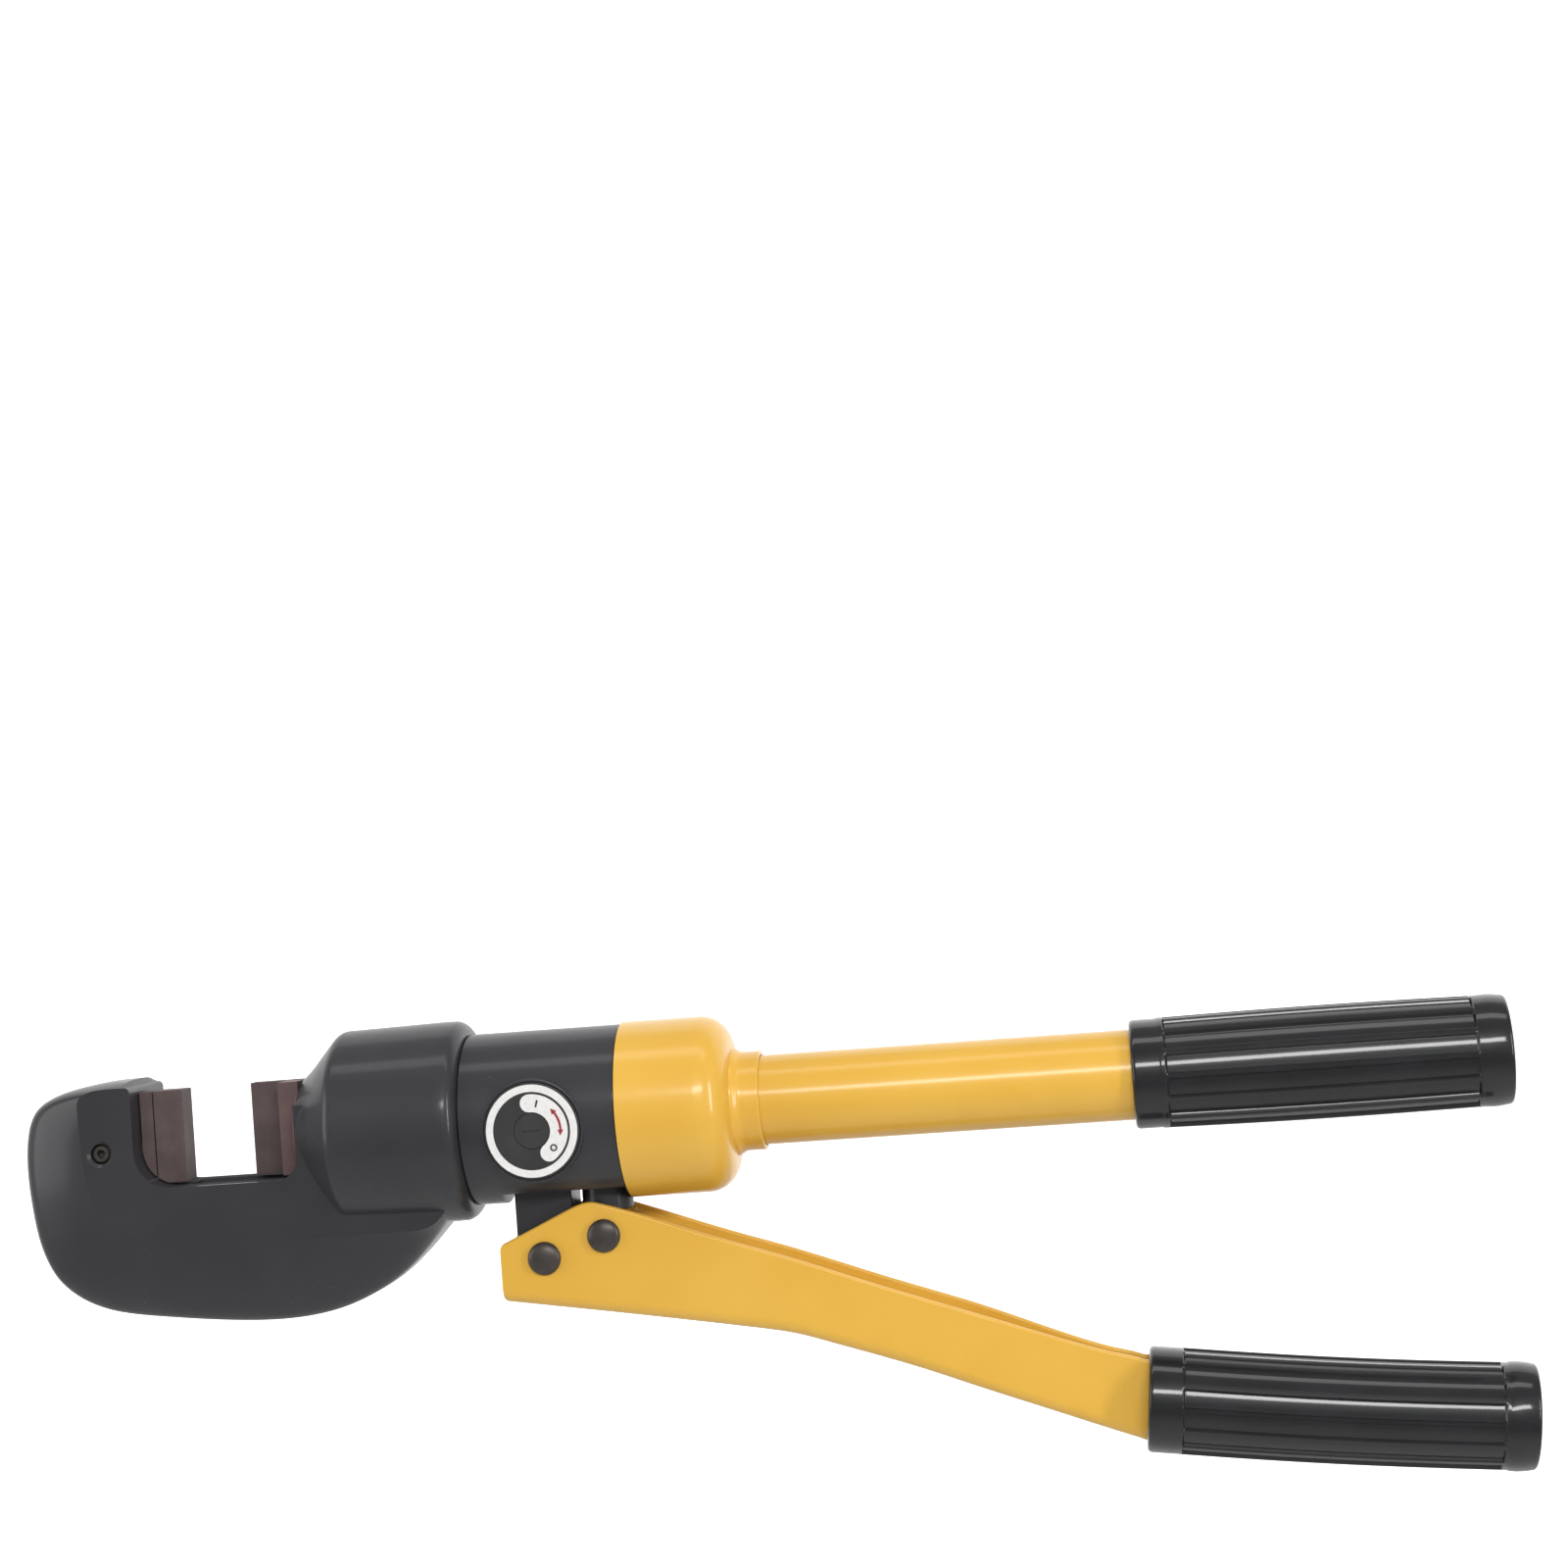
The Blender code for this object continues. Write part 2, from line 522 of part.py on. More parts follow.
def handle():
    turned("handle_tube", [(TUBE_FRONT_X, TUBE_R - 0.4), (TUBE_FRONT_X + 0.4, TUBE_R), (TUBE_REAR_X, TUBE_R),
                           (TUBE_REAR_X, TUBE_BORE_R), (TUBE_FRONT_X, TUBE_BORE_R)], "yellow_enamel")
    bladder = [(170.5, 8.3), (182.0, 8.3), (187.0, 11.2), (396.0, 11.2), (401.0, 6.4), (409.0, 6.4),
               (409.0, 4.3), (400.0, 4.3), (394.5, 9.6), (188.0, 9.6), (182.5, 6.3), (170.5, 6.3)]
    turned("oil_bladder", bladder, "bladder_rubber", facets=24)
    turned("bladder_clamp", ring(172.5, 177.5, 9.6, 8.6), "bright_steel", facets=24)
    turned("fill_plug", [(401.0, 0.0), (401.0, 4.0), (409.4, 4.0), (409.4, 6.2), (413.0, 6.2), (413.0, 0.0)],
           "brass", facets=SMALL)
    turned("tube_end_plug", rod(425.0, 438.0, TUBE_BORE_R - GAP, 0.8), "black_grip", facets=24)


def fluted_grip(name, length, radius_ends, radius_middle, location, rotation):
    """A moulded grip: plain bands at both ends and shallow flutes between them."""
    points_each = 4
    band, run, depth = 11.0, 1.5, 1.1
    stations = [(0.0, radius_ends - 1.0, 0.0), (0.5, radius_ends - 0.3, 0.0), (1.6, radius_ends, 0.0)]
    for share in (0.0, 0.0, 0.25, 0.5, 0.75, 1.0, 1.0):
        swell = radius_ends + (radius_middle - radius_ends) * math.sin(math.pi * (0.12 + 0.76 * share))
        stations.append((band + (length - 2 * band) * share, swell, depth))
    stations[3] = (stations[3][0] - run, stations[3][1], 0.0)
    stations[-1] = (stations[-1][0] + run, stations[-1][1], 0.0)
    stations += [(length - 1.6, radius_ends, 0.0), (length - 0.6, radius_ends - 0.4, 0.0),
                 (length, radius_ends - 1.4, 0.0)]
    profile_of_flute = (0.0, 0.0, 1.0, 1.0)
    facets = FLUTES * points_each
    work = bmesh.new()
    loops = []
    for along, radius, groove in stations:
        loop = []
        for step in range(facets):
            angle = math.tau * (step + 0.5) / facets
            here = radius - groove * profile_of_flute[step % points_each]
            loop.append(work.verts.new((along, here * math.cos(angle), here * math.sin(angle))))
        loops.append(loop)
    for first, second in zip(loops, loops[1:]):
        for step in range(facets):
            after = (step + 1) % facets
            work.faces.new((first[step], second[step], second[after], first[after]))
    work.faces.new(loops[0])
    work.faces.new(list(reversed(loops[-1])))
    return finish(name, work, "black_grip", location, rotation)


def upper_grip():
    grip = fluted_grip("upper_grip", GRIP_LENGTH, 18.1, 18.8, (GRIP_FRONT_X, 0, 0), None)
    cut(grip, turn(rod(-1.0, TUBE_REAR_X + 1.5 - GRIP_FRONT_X, TUBE_R + GAP), MID), (GRIP_FRONT_X, 0, 0))


# ---- lever ---------------------------------------------------------------------------------------
def along_line(points, x):
    """Height at x on a line through the points."""
    for (x0, z0), (x1, z1) in zip(points, points[1:]):
        if x0 <= x <= x1:
            return z0 + (z1 - z0) * (x - x0) / (x1 - x0)
    return points[-1][1]


def lever_stations():
    """Stations (x, top, bottom, half width) along the pressed channel and the tail inside its grip."""
    top = smooth_path([(110.0, -40.6), (120.0, -36.2), (130.0, -31.7), (134.5, -29.9), (138.5, -29.1),
                       (143.0, -30.1), (154.0, -33.7), (180.0, -43.3), (205.0, -51.9), (235.0, -63.2),
                       (265.0, -74.0), (292.0, -84.4), (306.0, -89.3), (313.0, -91.2), (320.0, -93.1)], 4)
    low = smooth_path([(107.4, -60.8), (150.0, -67.6), (190.0, -74.4), (204.0, -77.2), (216.0, -81.0),
                       (245.0, -91.0), (275.0, -103.0), (300.0, -113.3), (312.0, -118.0), (320.0, -120.9)], 4)
    places = [110.0, 115.0, 124.0, 130.0, 132.5, 134.5, 136.5, 138.5, 140.5, 143.0, 148.0, 154.0, 166.0,
              180.0, 192.0, 204.0, 210.0, 216.0, 230.0, 245.0, 258.0, 270.0, 282.0, 292.0, 300.0, 306.0,
              311.0, 315.0]
    stations = [(107.6, -45.0, -59.2, LEVER_HALF), (108.4, -42.2, -60.6, LEVER_HALF)]
    for x in places:
        narrow = max(0.0, min(1.0, (x - 255.0) / (315.0 - 255.0)))
        narrow = narrow * narrow * (3 - 2 * narrow)
        half = LEVER_HALF + (LEVER_HALF_AT_GRIP - LEVER_HALF) * narrow
        stations.append((x, along_line(top, x), along_line(low, x), half))
    for x, half_height in ((318.5, 13.8), (328.0, 13.4), (398.0, 13.2)):
        middle = LOWER_GRIP_FRONT[1] - math.tan(LOWER_GRIP_SLOPE) * (x - LOWER_GRIP_FRONT[0])
        stations.append((x, middle + half_height, middle - half_height, LEVER_HALF_AT_GRIP))
    return stations


def channel_section(top, bottom, half):
    """U section, open at the top, with rounded lower corners; (y, z) points."""
    outer_r, wall = 4.5, LEVER_WALL
    right = arc((half - outer_r, bottom + outer_r), outer_r, 0, -90, 4)
    left = [(-y, z) for y, z in reversed(right)]
    inner_r = outer_r - wall
    inside = arc((half - outer_r, bottom + outer_r), inner_r, 0, -90, 2)
    inside_left = [(-y, z) for y, z in reversed(inside)]
    section = [(half, top)] + right + left + [(-half, top), (-half + wall, top)]
    return section + list(reversed(inside_left)) + list(reversed(inside)) + [(half - wall, top)]


def lever():
    work = bmesh.new()
    loops = []
    for x, top, bottom, half in lever_stations():
        loops.append([work.verts.new((x, y, z)) for y, z in channel_section(top, bottom, half)])
    for first, second in zip(loops, loops[1:]):
        count = len(first)
        for step in range(count):
            after = (step + 1) % count
            work.faces.new((first[step], second[step], second[after], first[after]))
    work.faces.new(loops[0])
    work.faces.new(list(reversed(loops[-1])))
    channel = finish("lever_channel", work, "yellow_enamel")
    cut_hole(channel, -20.0, 20.0, PIVOT_PIN_R + GAP, "Y", (PIVOT_X, 0, PIVOT_Z))
    cut_hole(channel, -20.0, 20.0, CRANK_PIN_R + GAP, "Y", (CRANK_X, 0, CRANK_Z))
    return channel


def lower_grip():
    location = (LOWER_GRIP_FRONT[0], 0, LOWER_GRIP_FRONT[1])
    rotation = (0.0, LOWER_GRIP_SLOPE, 0.0)
    grip = fluted_grip("lower_grip", LOWER_GRIP_LENGTH, 17.3, 17.2, location, rotation)
    clear_y, clear_z = LEVER_HALF_AT_GRIP + GAP, 14.1
    cut(grip, block((-2.0, -clear_y, -clear_z), (86.0, clear_y, clear_z)), location, rotation)
    return grip


def pin(name, x, z, radius):
    """Domed head on the near side, a groove for the clip on the far side."""
    face = LEVER_HALF + GAP
    head = [(-face - 2.5, 0.0), (-face - 2.3, 2.2), (-face - 1.5, 4.4), (-face - 0.5, PIN_HEAD_R - 0.1),
            (-face, PIN_HEAD_R)]
    shank = [(-face, radius), (face + 0.4, radius), (face + 0.4, radius - 0.9), (face + 1.6, radius - 0.9),
             (face + 1.6, radius), (face + 2.7, radius), (face + 3.1, radius - 0.4), (face + 3.1, 0.0)]
    made = turned(name, head + shank, "dark_steel", "Y", (x, 0, z), MID)
    clip_outline = arc((0, 0), radius + 1.8, 20, 340, 16) + arc((0, 0), radius - 0.9 + GAP, 340, 20, 12)
    clip = finish(name + "_clip", prism(clip_outline, face + 0.55, face + 1.35), "spring_steel", (x, 0, z))
    return made, clip


# ---- assembly ------------------------------------------------------------------------------------
def build():
    clear_scene()
    head_frame()
    moving_blade = blades()
    socket_screw("fixed_blade_screw", "dark_steel", "Y", (-27.0, -9.0, -1.9), 7.6, 3.0, 1.6, way=-1)
    socket_screw("head_lock_screw", "dark_steel", "Y", (93.0, SPIGOT_R + 0.4, 0.0), 4.4, 2.6, 1.4)
    turned("rod_wiper", ring(50.0, 53.0, 19.2, RAM_R + 0.15), "seal_rubber", facets=BIG)
    ram_body = ram()
    blade_screw = socket_screw("moving_blade_screw", "dark_steel", "Z", (37.2, 5.5, 3.4), 11.5, 2.0, 1.1)
    return_spring()
    cylinder_body()
    valves()
    release_pieces = release_valve()
    plunger = pump()
    rear_cap()
    handle()
    upper_grip()
    channel = lever()
    grip = lower_grip()
    pivot_pin, pivot_clip = pin("pivot_pin", PIVOT_X, PIVOT_Z, PIVOT_PIN_R)
    crank_pin, crank_clip = pin("plunger_pin", CRANK_X, CRANK_Z, CRANK_PIN_R)

    ram_axis = joint_axis("ram_axis", (RAM_STEP_X, 0, 0))
    for piece in (ram_body, moving_blade, blade_screw):
        rest_on_joint(piece, ram_axis)
    for name in ("piston_seal", "piston_backup_ring"):
        rest_on_joint(bpy.data.objects[name], ram_axis)
    lever_axis = joint_axis("lever_axis", (PIVOT_X, 0, PIVOT_Z))
    for piece in (channel, grip, pivot_pin, pivot_clip, crank_pin, crank_clip):
        rest_on_joint(piece, lever_axis)
    rest_on_joint(plunger, joint_axis("plunger_axis", (CRANK_X, 0, CRANK_Z)))
    release_axis = joint_axis("release_axis", (VALVE_X, 0, VALVE_Z))
    for piece in release_pieces:
        rest_on_joint(piece, release_axis)


build()
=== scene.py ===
# %% [markdown]
# # A hand-pumped rebar cutter
# A steel bar is laid in the open jaw. Each stroke of the lower handle pumps oil behind a ram, and the
# ram drives one blade past the other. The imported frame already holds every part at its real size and
# place. These cells make the surfaces that a hand and an eye meet: enamel, moulded rubber, blade steel.

# %% Load the frame
import json
import math

import bmesh
import bpy
from mathutils import Matrix, Vector


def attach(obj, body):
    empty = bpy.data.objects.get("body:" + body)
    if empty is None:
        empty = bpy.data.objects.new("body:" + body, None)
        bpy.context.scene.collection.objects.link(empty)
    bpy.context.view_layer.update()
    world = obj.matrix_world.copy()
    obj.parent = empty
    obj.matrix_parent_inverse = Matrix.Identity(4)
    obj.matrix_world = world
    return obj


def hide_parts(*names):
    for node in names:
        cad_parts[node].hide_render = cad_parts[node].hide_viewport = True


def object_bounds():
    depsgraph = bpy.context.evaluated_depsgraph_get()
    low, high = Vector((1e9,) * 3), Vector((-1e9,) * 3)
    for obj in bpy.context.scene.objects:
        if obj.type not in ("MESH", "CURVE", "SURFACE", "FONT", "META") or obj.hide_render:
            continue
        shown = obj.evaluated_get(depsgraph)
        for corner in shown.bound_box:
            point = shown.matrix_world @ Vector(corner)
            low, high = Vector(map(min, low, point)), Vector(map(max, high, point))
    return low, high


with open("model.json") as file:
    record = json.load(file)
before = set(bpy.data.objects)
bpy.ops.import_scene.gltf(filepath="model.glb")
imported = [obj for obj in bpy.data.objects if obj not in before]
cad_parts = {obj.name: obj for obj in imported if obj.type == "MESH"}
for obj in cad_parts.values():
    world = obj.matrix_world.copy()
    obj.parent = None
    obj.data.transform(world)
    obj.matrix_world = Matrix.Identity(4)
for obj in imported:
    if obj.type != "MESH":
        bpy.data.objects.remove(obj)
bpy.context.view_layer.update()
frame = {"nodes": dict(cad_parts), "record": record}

# %% [markdown]
# ## Camera
# The cutter is seen from its release-valve side, a little in front of the hand grips, and the camera
# leans slightly, so the handle climbs to the right. A camera can be placed with an empty and a Track To
# constraint. Three angles turned into a matrix say the same thing in numbers and stay put.

# %% Place the camera
CAMERA_PLACE = Vector((0.3217, -0.980, 0.068))
CAMERA_TURN = math.radians(6.315)      # to the left
CAMERA_TILT = math.radians(2.176)      # upwards
CAMERA_LEAN = math.radians(-4.352)
CAMERA_LENS = 67.16                    # millimetres, on a 36 mm sensor

ahead = Vector((-math.sin(CAMERA_TURN) * math.cos(CAMERA_TILT),
                math.cos(CAMERA_TURN) * math.cos(CAMERA_TILT), math.sin(CAMERA_TILT)))
level_right = Vector((math.cos(CAMERA_TURN), math.sin(CAMERA_TURN), 0.0))
level_up = level_right.cross(ahead)
right = level_right * math.cos(CAMERA_LEAN) + level_up * math.sin(CAMERA_LEAN)
up = right.cross(ahead)
lens = bpy.data.cameras.new("camera")
lens.lens = CAMERA_LENS
lens.clip_start = 0.01
camera = bpy.data.objects.new("camera", lens)
camera.matrix_world = Matrix.Translation(CAMERA_PLACE) @ Matrix((right, up, -ahead)).transposed().to_4x4()
bpy.context.scene.collection.objects.link(camera)
bpy.context.scene.camera = camera
print("camera looks along", tuple(round(value, 3) for value in ahead))

# %% [markdown]
# ## Mesh helpers
# Most parts of this tool come from three workshop jobs: turning, extruding and drawing one section into
# the next. Primitives such as cylinders could be scaled and joined instead, but then a groove or a softened
# corner is a job of its own. Each function here works in millimetres on a bmesh, Blender's mesh type for
# scripts, so a piece reads like its drawing.

# %% Outlines: arcs, smooth curves and softened corners
MM = 0.001


def arc(centre, radius, start, end, steps):
    """Points along an arc, angles in degrees."""
    angles = [math.radians(start + (end - start) * step / steps) for step in range(steps + 1)]
    return [(centre[0] + radius * math.cos(a), centre[1] + radius * math.sin(a)) for a in angles]


def smooth_path(points, steps):
    """A Catmull-Rom curve through the points, of any dimension."""
    padded = [points[0]] + list(points) + [points[-1]]
    result = []
    for index in range(len(points) - 1):
        p0, p1, p2, p3 = (Vector(p) for p in padded[index:index + 4])
        for step in range(steps):
            t = step / steps
            result.append(tuple(0.5 * (2 * p1 + (p2 - p0) * t + (2 * p0 - 5 * p1 + 4 * p2 - p3) * t * t
                                       + (3 * p1 - p0 - 3 * p2 + p3) * t ** 3)))
    return result + [tuple(points[-1])]


def soften(outline, steps=4):
    """Replace each corner given as (a, b, radius) by a small curve; (a, b) stays a corner."""
    result = []
    count = len(outline)
    for index, corner in enumerate(outline):
        here = Vector(corner[:2])
        if len(corner) == 2 or corner[2] == 0.0:
            result.append(tuple(here))
            continue
        before, after = Vector(outline[index - 1][:2]), Vector(outline[(index + 1) % count][:2])
        reach = min(corner[2], (before - here).length * 0.49, (after - here).length * 0.49)
        start = here + (before - here).normalized() * reach
        end = here + (after - here).normalized() * reach
        for step in range(steps + 1):
            t = step / steps
            result.append(tuple(start * (1 - t) ** 2 + here * 2 * t * (1 - t) + end * t * t))
    return result


print("a softened square has", len(soften([(0, 0, 1), (9, 0, 1), (9, 9, 1), (0, 9, 1)])), "points")


# %% Meshes: turning, extruding, lofting
def loft(loops, closed=True, caps=True):
    """Skin loops of points that all have the same count."""
    work = bmesh.new()
    rows = [[work.verts.new(point) for point in loop] for loop in loops]
    count = len(rows[0])
    for first, second in zip(rows, rows[1:]):
        for step in range(count if closed else count - 1):
            after = (step + 1) % count
            work.faces.new((first[step], second[step], second[after], first[after]))
    if caps:
        work.faces.new(rows[0])
        work.faces.new(list(reversed(rows[-1])))
    return work


def turned(profile, axis="X", centre=(0, 0, 0), facets=128):
    """Spin (along, radius) points round an axis. A profile that misses the axis closes as a ring."""
    angles = [math.tau * step / facets for step in range(facets)]
    on_axis = profile[0][1] == 0.0
    points = list(profile) if on_axis else list(profile) + [profile[0]]
    loops = [[(along, max(radius, 1e-4) * math.cos(a), max(radius, 1e-4) * math.sin(a)) for a in angles]
             for along, radius in points]
    work = loft(loops, caps=False)
    bmesh.ops.remove_doubles(work, verts=work.verts, dist=1e-3)
    for vertex in work.verts:
        x, y, z = vertex.co
        place = {"X": (x, y, z), "Y": (-y, x, z), "Z": (-z, y, x)}[axis]
        vertex.co = Vector(place) + Vector(centre)
    return work


def extruded(outline, low_y, high_y):
    """Push an (x, z) outline along Y."""
    return loft([[(x, low_y, z) for x, z in outline], [(x, high_y, z) for x, z in outline]])


def box(low, high):
    corners = [(low[0], low[2]), (high[0], low[2]), (high[0], high[2]), (low[0], high[2])]
    return extruded(corners, low[1], high[1])


print("a turned disc has", len(turned([(0, 0), (0, 5), (1, 5), (1, 0)]).verts), "points")

# %% [markdown]
# Booleans cut bores and slots as a drill or a mill would. A modifier could stay live on the piece, but a
# finished piece is a plain mesh, so each modifier is evaluated into new mesh data and then dropped. The
# Weighted Normal modifier comes last: it keeps the shading of big flat faces flat beside round ones.


# %% Finish a mesh as a piece of the cutter
def bake_modifiers(piece):
    """Turn the evaluated result into the piece's own mesh."""
    evaluated = piece.evaluated_get(bpy.context.evaluated_depsgraph_get())
    result = bpy.data.meshes.new_from_object(evaluated)
    piece.modifiers.clear()
    piece.data = result


def to_object(name, work):
    """A bmesh in millimetres becomes an object in metres."""
    bmesh.ops.recalc_face_normals(work, faces=work.faces)
    bmesh.ops.scale(work, vec=(MM, MM, MM), verts=work.verts)
    mesh = bpy.data.meshes.new(name)
    work.to_mesh(mesh)
    work.free()
    piece = bpy.data.objects.new(name, mesh)
    bpy.context.scene.collection.objects.link(piece)
    return piece


def combine(piece, tool_work, operation="DIFFERENCE"):
    """Cut a shape away from the piece, or weld it on with UNION."""
    tool = to_object("tool", tool_work)
    step = piece.modifiers.new("step", "BOOLEAN")
    step.operation = operation
    step.object = tool
    step.solver = "EXACT"
    bake_modifiers(piece)
    bpy.data.objects.remove(tool, do_unlink=True)


def edge_round(piece, width):
    """Break the sharp edges, as a file or a tumbling barrel leaves them."""
    step = piece.modifiers.new("edges", "BEVEL")
    step.width = width * MM
    step.segments = 2
    step.limit_method = "ANGLE"
    step.angle_limit = math.radians(50)
    bake_modifiers(piece)


def shade(piece, angle=32):
    """Smooth shading that stops at real edges."""
    piece.data.shade_smooth()
    piece.data.set_sharp_from_angle(angle=math.radians(angle))
    step = piece.modifiers.new("normals", "WEIGHTED_NORMAL")
    step.keep_sharp = True
    bake_modifiers(piece)


def place(piece, coat, body, slot, stands_for=()):
    """Give the piece its finish, its body and the CAD nodes that it stands for."""
    piece.data.materials.clear()
    piece.data.materials.append(coat)
    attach(piece, body)
    if stands_for:
        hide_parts(*stands_for)
    print("%-22s %6d faces on %s" % (piece.name, len(piece.data.polygons), body))
    return piece


# %% [markdown]
# ## Shader helpers
# A surface is a formula: roughness is a base value plus noise, wear is a mask times a colour. Wiring that
# by hand takes dozens of Math nodes. One small class wraps a socket, so that `0.3 + 0.1 * grain` adds the
# nodes itself, and one class holds the material that is being mixed.

# %% Sockets that do arithmetic
class Value:
    """A socket in a sum. Each operation adds one Math node."""

    def __init__(self, coat, socket):
        self.coat = coat
        self.socket = socket

    def math(self, operation, *others):
        return self.coat.node("ShaderNodeMath", {"operation": operation}, dict(enumerate((self, *others))))

    def __add__(self, other):
        return self.math("ADD", other)

    def __mul__(self, other):
        return self.math("MULTIPLY", other)

    def __rsub__(self, other):
        return self.math("MULTIPLY", -1.0) + other

    __radd__ = __add__
    __rmul__ = __mul__

    def between(self, low, high):
        """0 below low, 1 above high, smooth between."""
        return self.coat.node("ShaderNodeMapRange", {"interpolation_type": "SMOOTHSTEP"},
                              {"Value": self, "From Min": low, "From Max": high})


class Coat:
    """A material in the making: a Principled shader and what feeds it."""

    def __init__(self, name, **constants):
        self.material = bpy.data.materials.new(name)
        self.material.use_nodes = True
        self.tree = self.material.node_tree
        self.shader = self.tree.nodes["Principled BSDF"]
        for title, value in constants.items():
            self.shader.inputs[title.replace("_", " ")].default_value = value
        self.object_place = self.node("ShaderNodeTexCoord", output="Object")

    def node(self, kind, settings=None, inputs=None, output=0):
        made = self.tree.nodes.new(kind)
        for key, value in (settings or {}).items():
            setattr(made, key, value)
        for key, value in (inputs or {}).items():
            self.connect(made.inputs[key], value)
        return Value(self, made.outputs[output])

    def connect(self, socket, value):
        if isinstance(value, Value):
            self.tree.links.new(value.socket, socket)
        else:
            socket.default_value = value

    def stretched(self, scale, turn=(0.0, 0.0, 0.0)):
        return self.node("ShaderNodeMapping", {},
                         {"Vector": self.object_place, "Scale": scale, "Rotation": turn})

    def noise(self, scale, detail=3.0, rough=0.5, vector=None):
        return self.node("ShaderNodeTexNoise", {}, {"Vector": vector or self.object_place, "Scale": scale,
                                                    "Detail": detail, "Roughness": rough})

    def mix(self, share, first, second):
        """Blend two colours."""
        return self.node("ShaderNodeMix", {"data_type": "RGBA"}, {0: share, 6: first, 7: second}, output=2)

    def bump(self, height, depth):
        """A height of 0 to 1 becomes a relief of depth millimetres."""
        return self.node("ShaderNodeBump", {}, {"Height": height, "Distance": depth * MM, "Strength": 1.0})

    def feed(self, **links):
        for title, value in links.items():
            self.connect(self.shader.inputs[title.replace("_", " ")], value)
        return self.material


def paint(red, green, blue):
    """A colour as a painter reads it, 0 to 255, turned into light."""
    light = [((part / 255 + 0.055) / 1.055) ** 2.4 if part > 10 else part / 3295
             for part in (red, green, blue)]
    return (*light, 1.0)


print("white paint is", [round(part, 2) for part in paint(230, 230, 230)[:3]])

# %% [markdown]
# ## Enamel
# The castings are sprayed: satin black on head and cylinder, glossy yellow on cap, tube and lever. Sprayed
# enamel is never flat. It has orange peel, a fine ripple about a millimetre long, slow drifts of tone where
# the coat is thicker, dust, and hairline scratches that show only in the gloss. One function mixes both
# paints, so that they share their grain, and a clear coat on top carries the sharp highlight. Bars slide
# over the floor of the jaw and take its gloss away. That floor could be a material of its own, but a box
# that fades at its sides, read from the place on the tool, leaves no line where the gloss ends.


# %% Mix the two enamels
ORANGE_PEEL = 0.003                    # millimetres
# The dulled floor of the jaw, in metres along each axis: it begins, is full, begins to fade and has ended.
DULL_X = (-0.016, -0.012, 0.038, 0.042)
DULL_Y = (-0.0172, -0.0160, 0.0165, 0.0175)
DULL_Z = (-0.0175, -0.0160, -0.0147, -0.0138)


def fading_span(value, span):
    """1 in the middle of the span, fading to 0 at both ends."""
    return value.between(span[0], span[1]) * (1.0 - value.between(span[2], span[3]))


def enamel(name, deep, light, base_rough, coat_share, coat_rough, dust):
    coat = Coat(name, Coat_Roughness=coat_rough, Specular_IOR_Level=0.25)
    drift = coat.noise(22.0, 3.0, 0.55).between(0.35, 0.68)
    tone = coat.mix(drift, deep, light)
    speck = coat.noise(1500.0, 2.0, 0.6).between(0.66, 0.74)
    settled = coat.noise(60.0, 4.0, 0.6).between(0.52, 0.75)
    dusty = coat.mix(speck * settled * dust, tone, paint(150, 146, 138))
    scratch = coat.noise(90.0, 5.0, 0.7, coat.stretched((1.0, 14.0, 26.0), (0.0, 0.35, 0.2)))
    hairline = scratch.between(0.62, 0.66)
    rough = base_rough + 0.10 * coat.noise(140.0, 4.0, 0.6) + 0.12 * hairline + 0.15 * speck * settled
    ripple = coat.noise(620.0, 2.0, 0.45)
    x, y, z = [coat.node("ShaderNodeSeparateXYZ", {}, {0: coat.object_place}, output=axis)
               for axis in range(3)]
    jaw_floor = fading_span(x, DULL_X) * fading_span(y, DULL_Y) * fading_span(z, DULL_Z)
    return coat.feed(Base_Color=dusty, Roughness=rough + 0.5 * jaw_floor,
                     Coat_Weight=coat_share * (1.0 - jaw_floor), Normal=coat.bump(ripple, ORANGE_PEEL))


black_enamel = enamel("black_enamel", paint(43, 43, 46), paint(48, 48, 52),
                      base_rough=0.42, coat_share=0.30, coat_rough=0.15, dust=0.4)
yellow_enamel = enamel("yellow_enamel", paint(217, 168, 61), paint(221, 173, 67),
                       base_rough=0.36, coat_share=0.5, coat_rough=0.17, dust=0.12)
print("enamels:", black_enamel.name, yellow_enamel.name)

# %% [markdown]
# ## Steels
# The blades are heat treated, which leaves a dull brown skin with faint purple clouds over grinding lines.
# Pins and screws are black oxide, and the pump plunger is ground bright. All have a directional grain: noise
# squeezed hard across the grain and left long along it. The skin on blades and ram is an oxide, so it takes
# hardly any of the metal's mirror.


# %% Mix the steels
def grained_steel(name, deep, light, rough, metal, squeeze, clouds, relief=0.006, shine=0.5):
    coat = Coat(name, Metallic=metal, Specular_IOR_Level=shine)
    grain = coat.noise(160.0, 4.0, 0.6, coat.stretched(squeeze))
    cloud = coat.noise(clouds, 4.0, 0.55).between(0.32, 0.7)
    tone = coat.mix(cloud * 0.7 + grain * 0.3, deep, light)
    rub = coat.noise(clouds * 5, 3.0, 0.6).between(0.55, 0.8)
    return coat.feed(Base_Color=tone, Roughness=rough + 0.16 * grain + 0.10 * rub,
                     Normal=coat.bump(grain, relief))


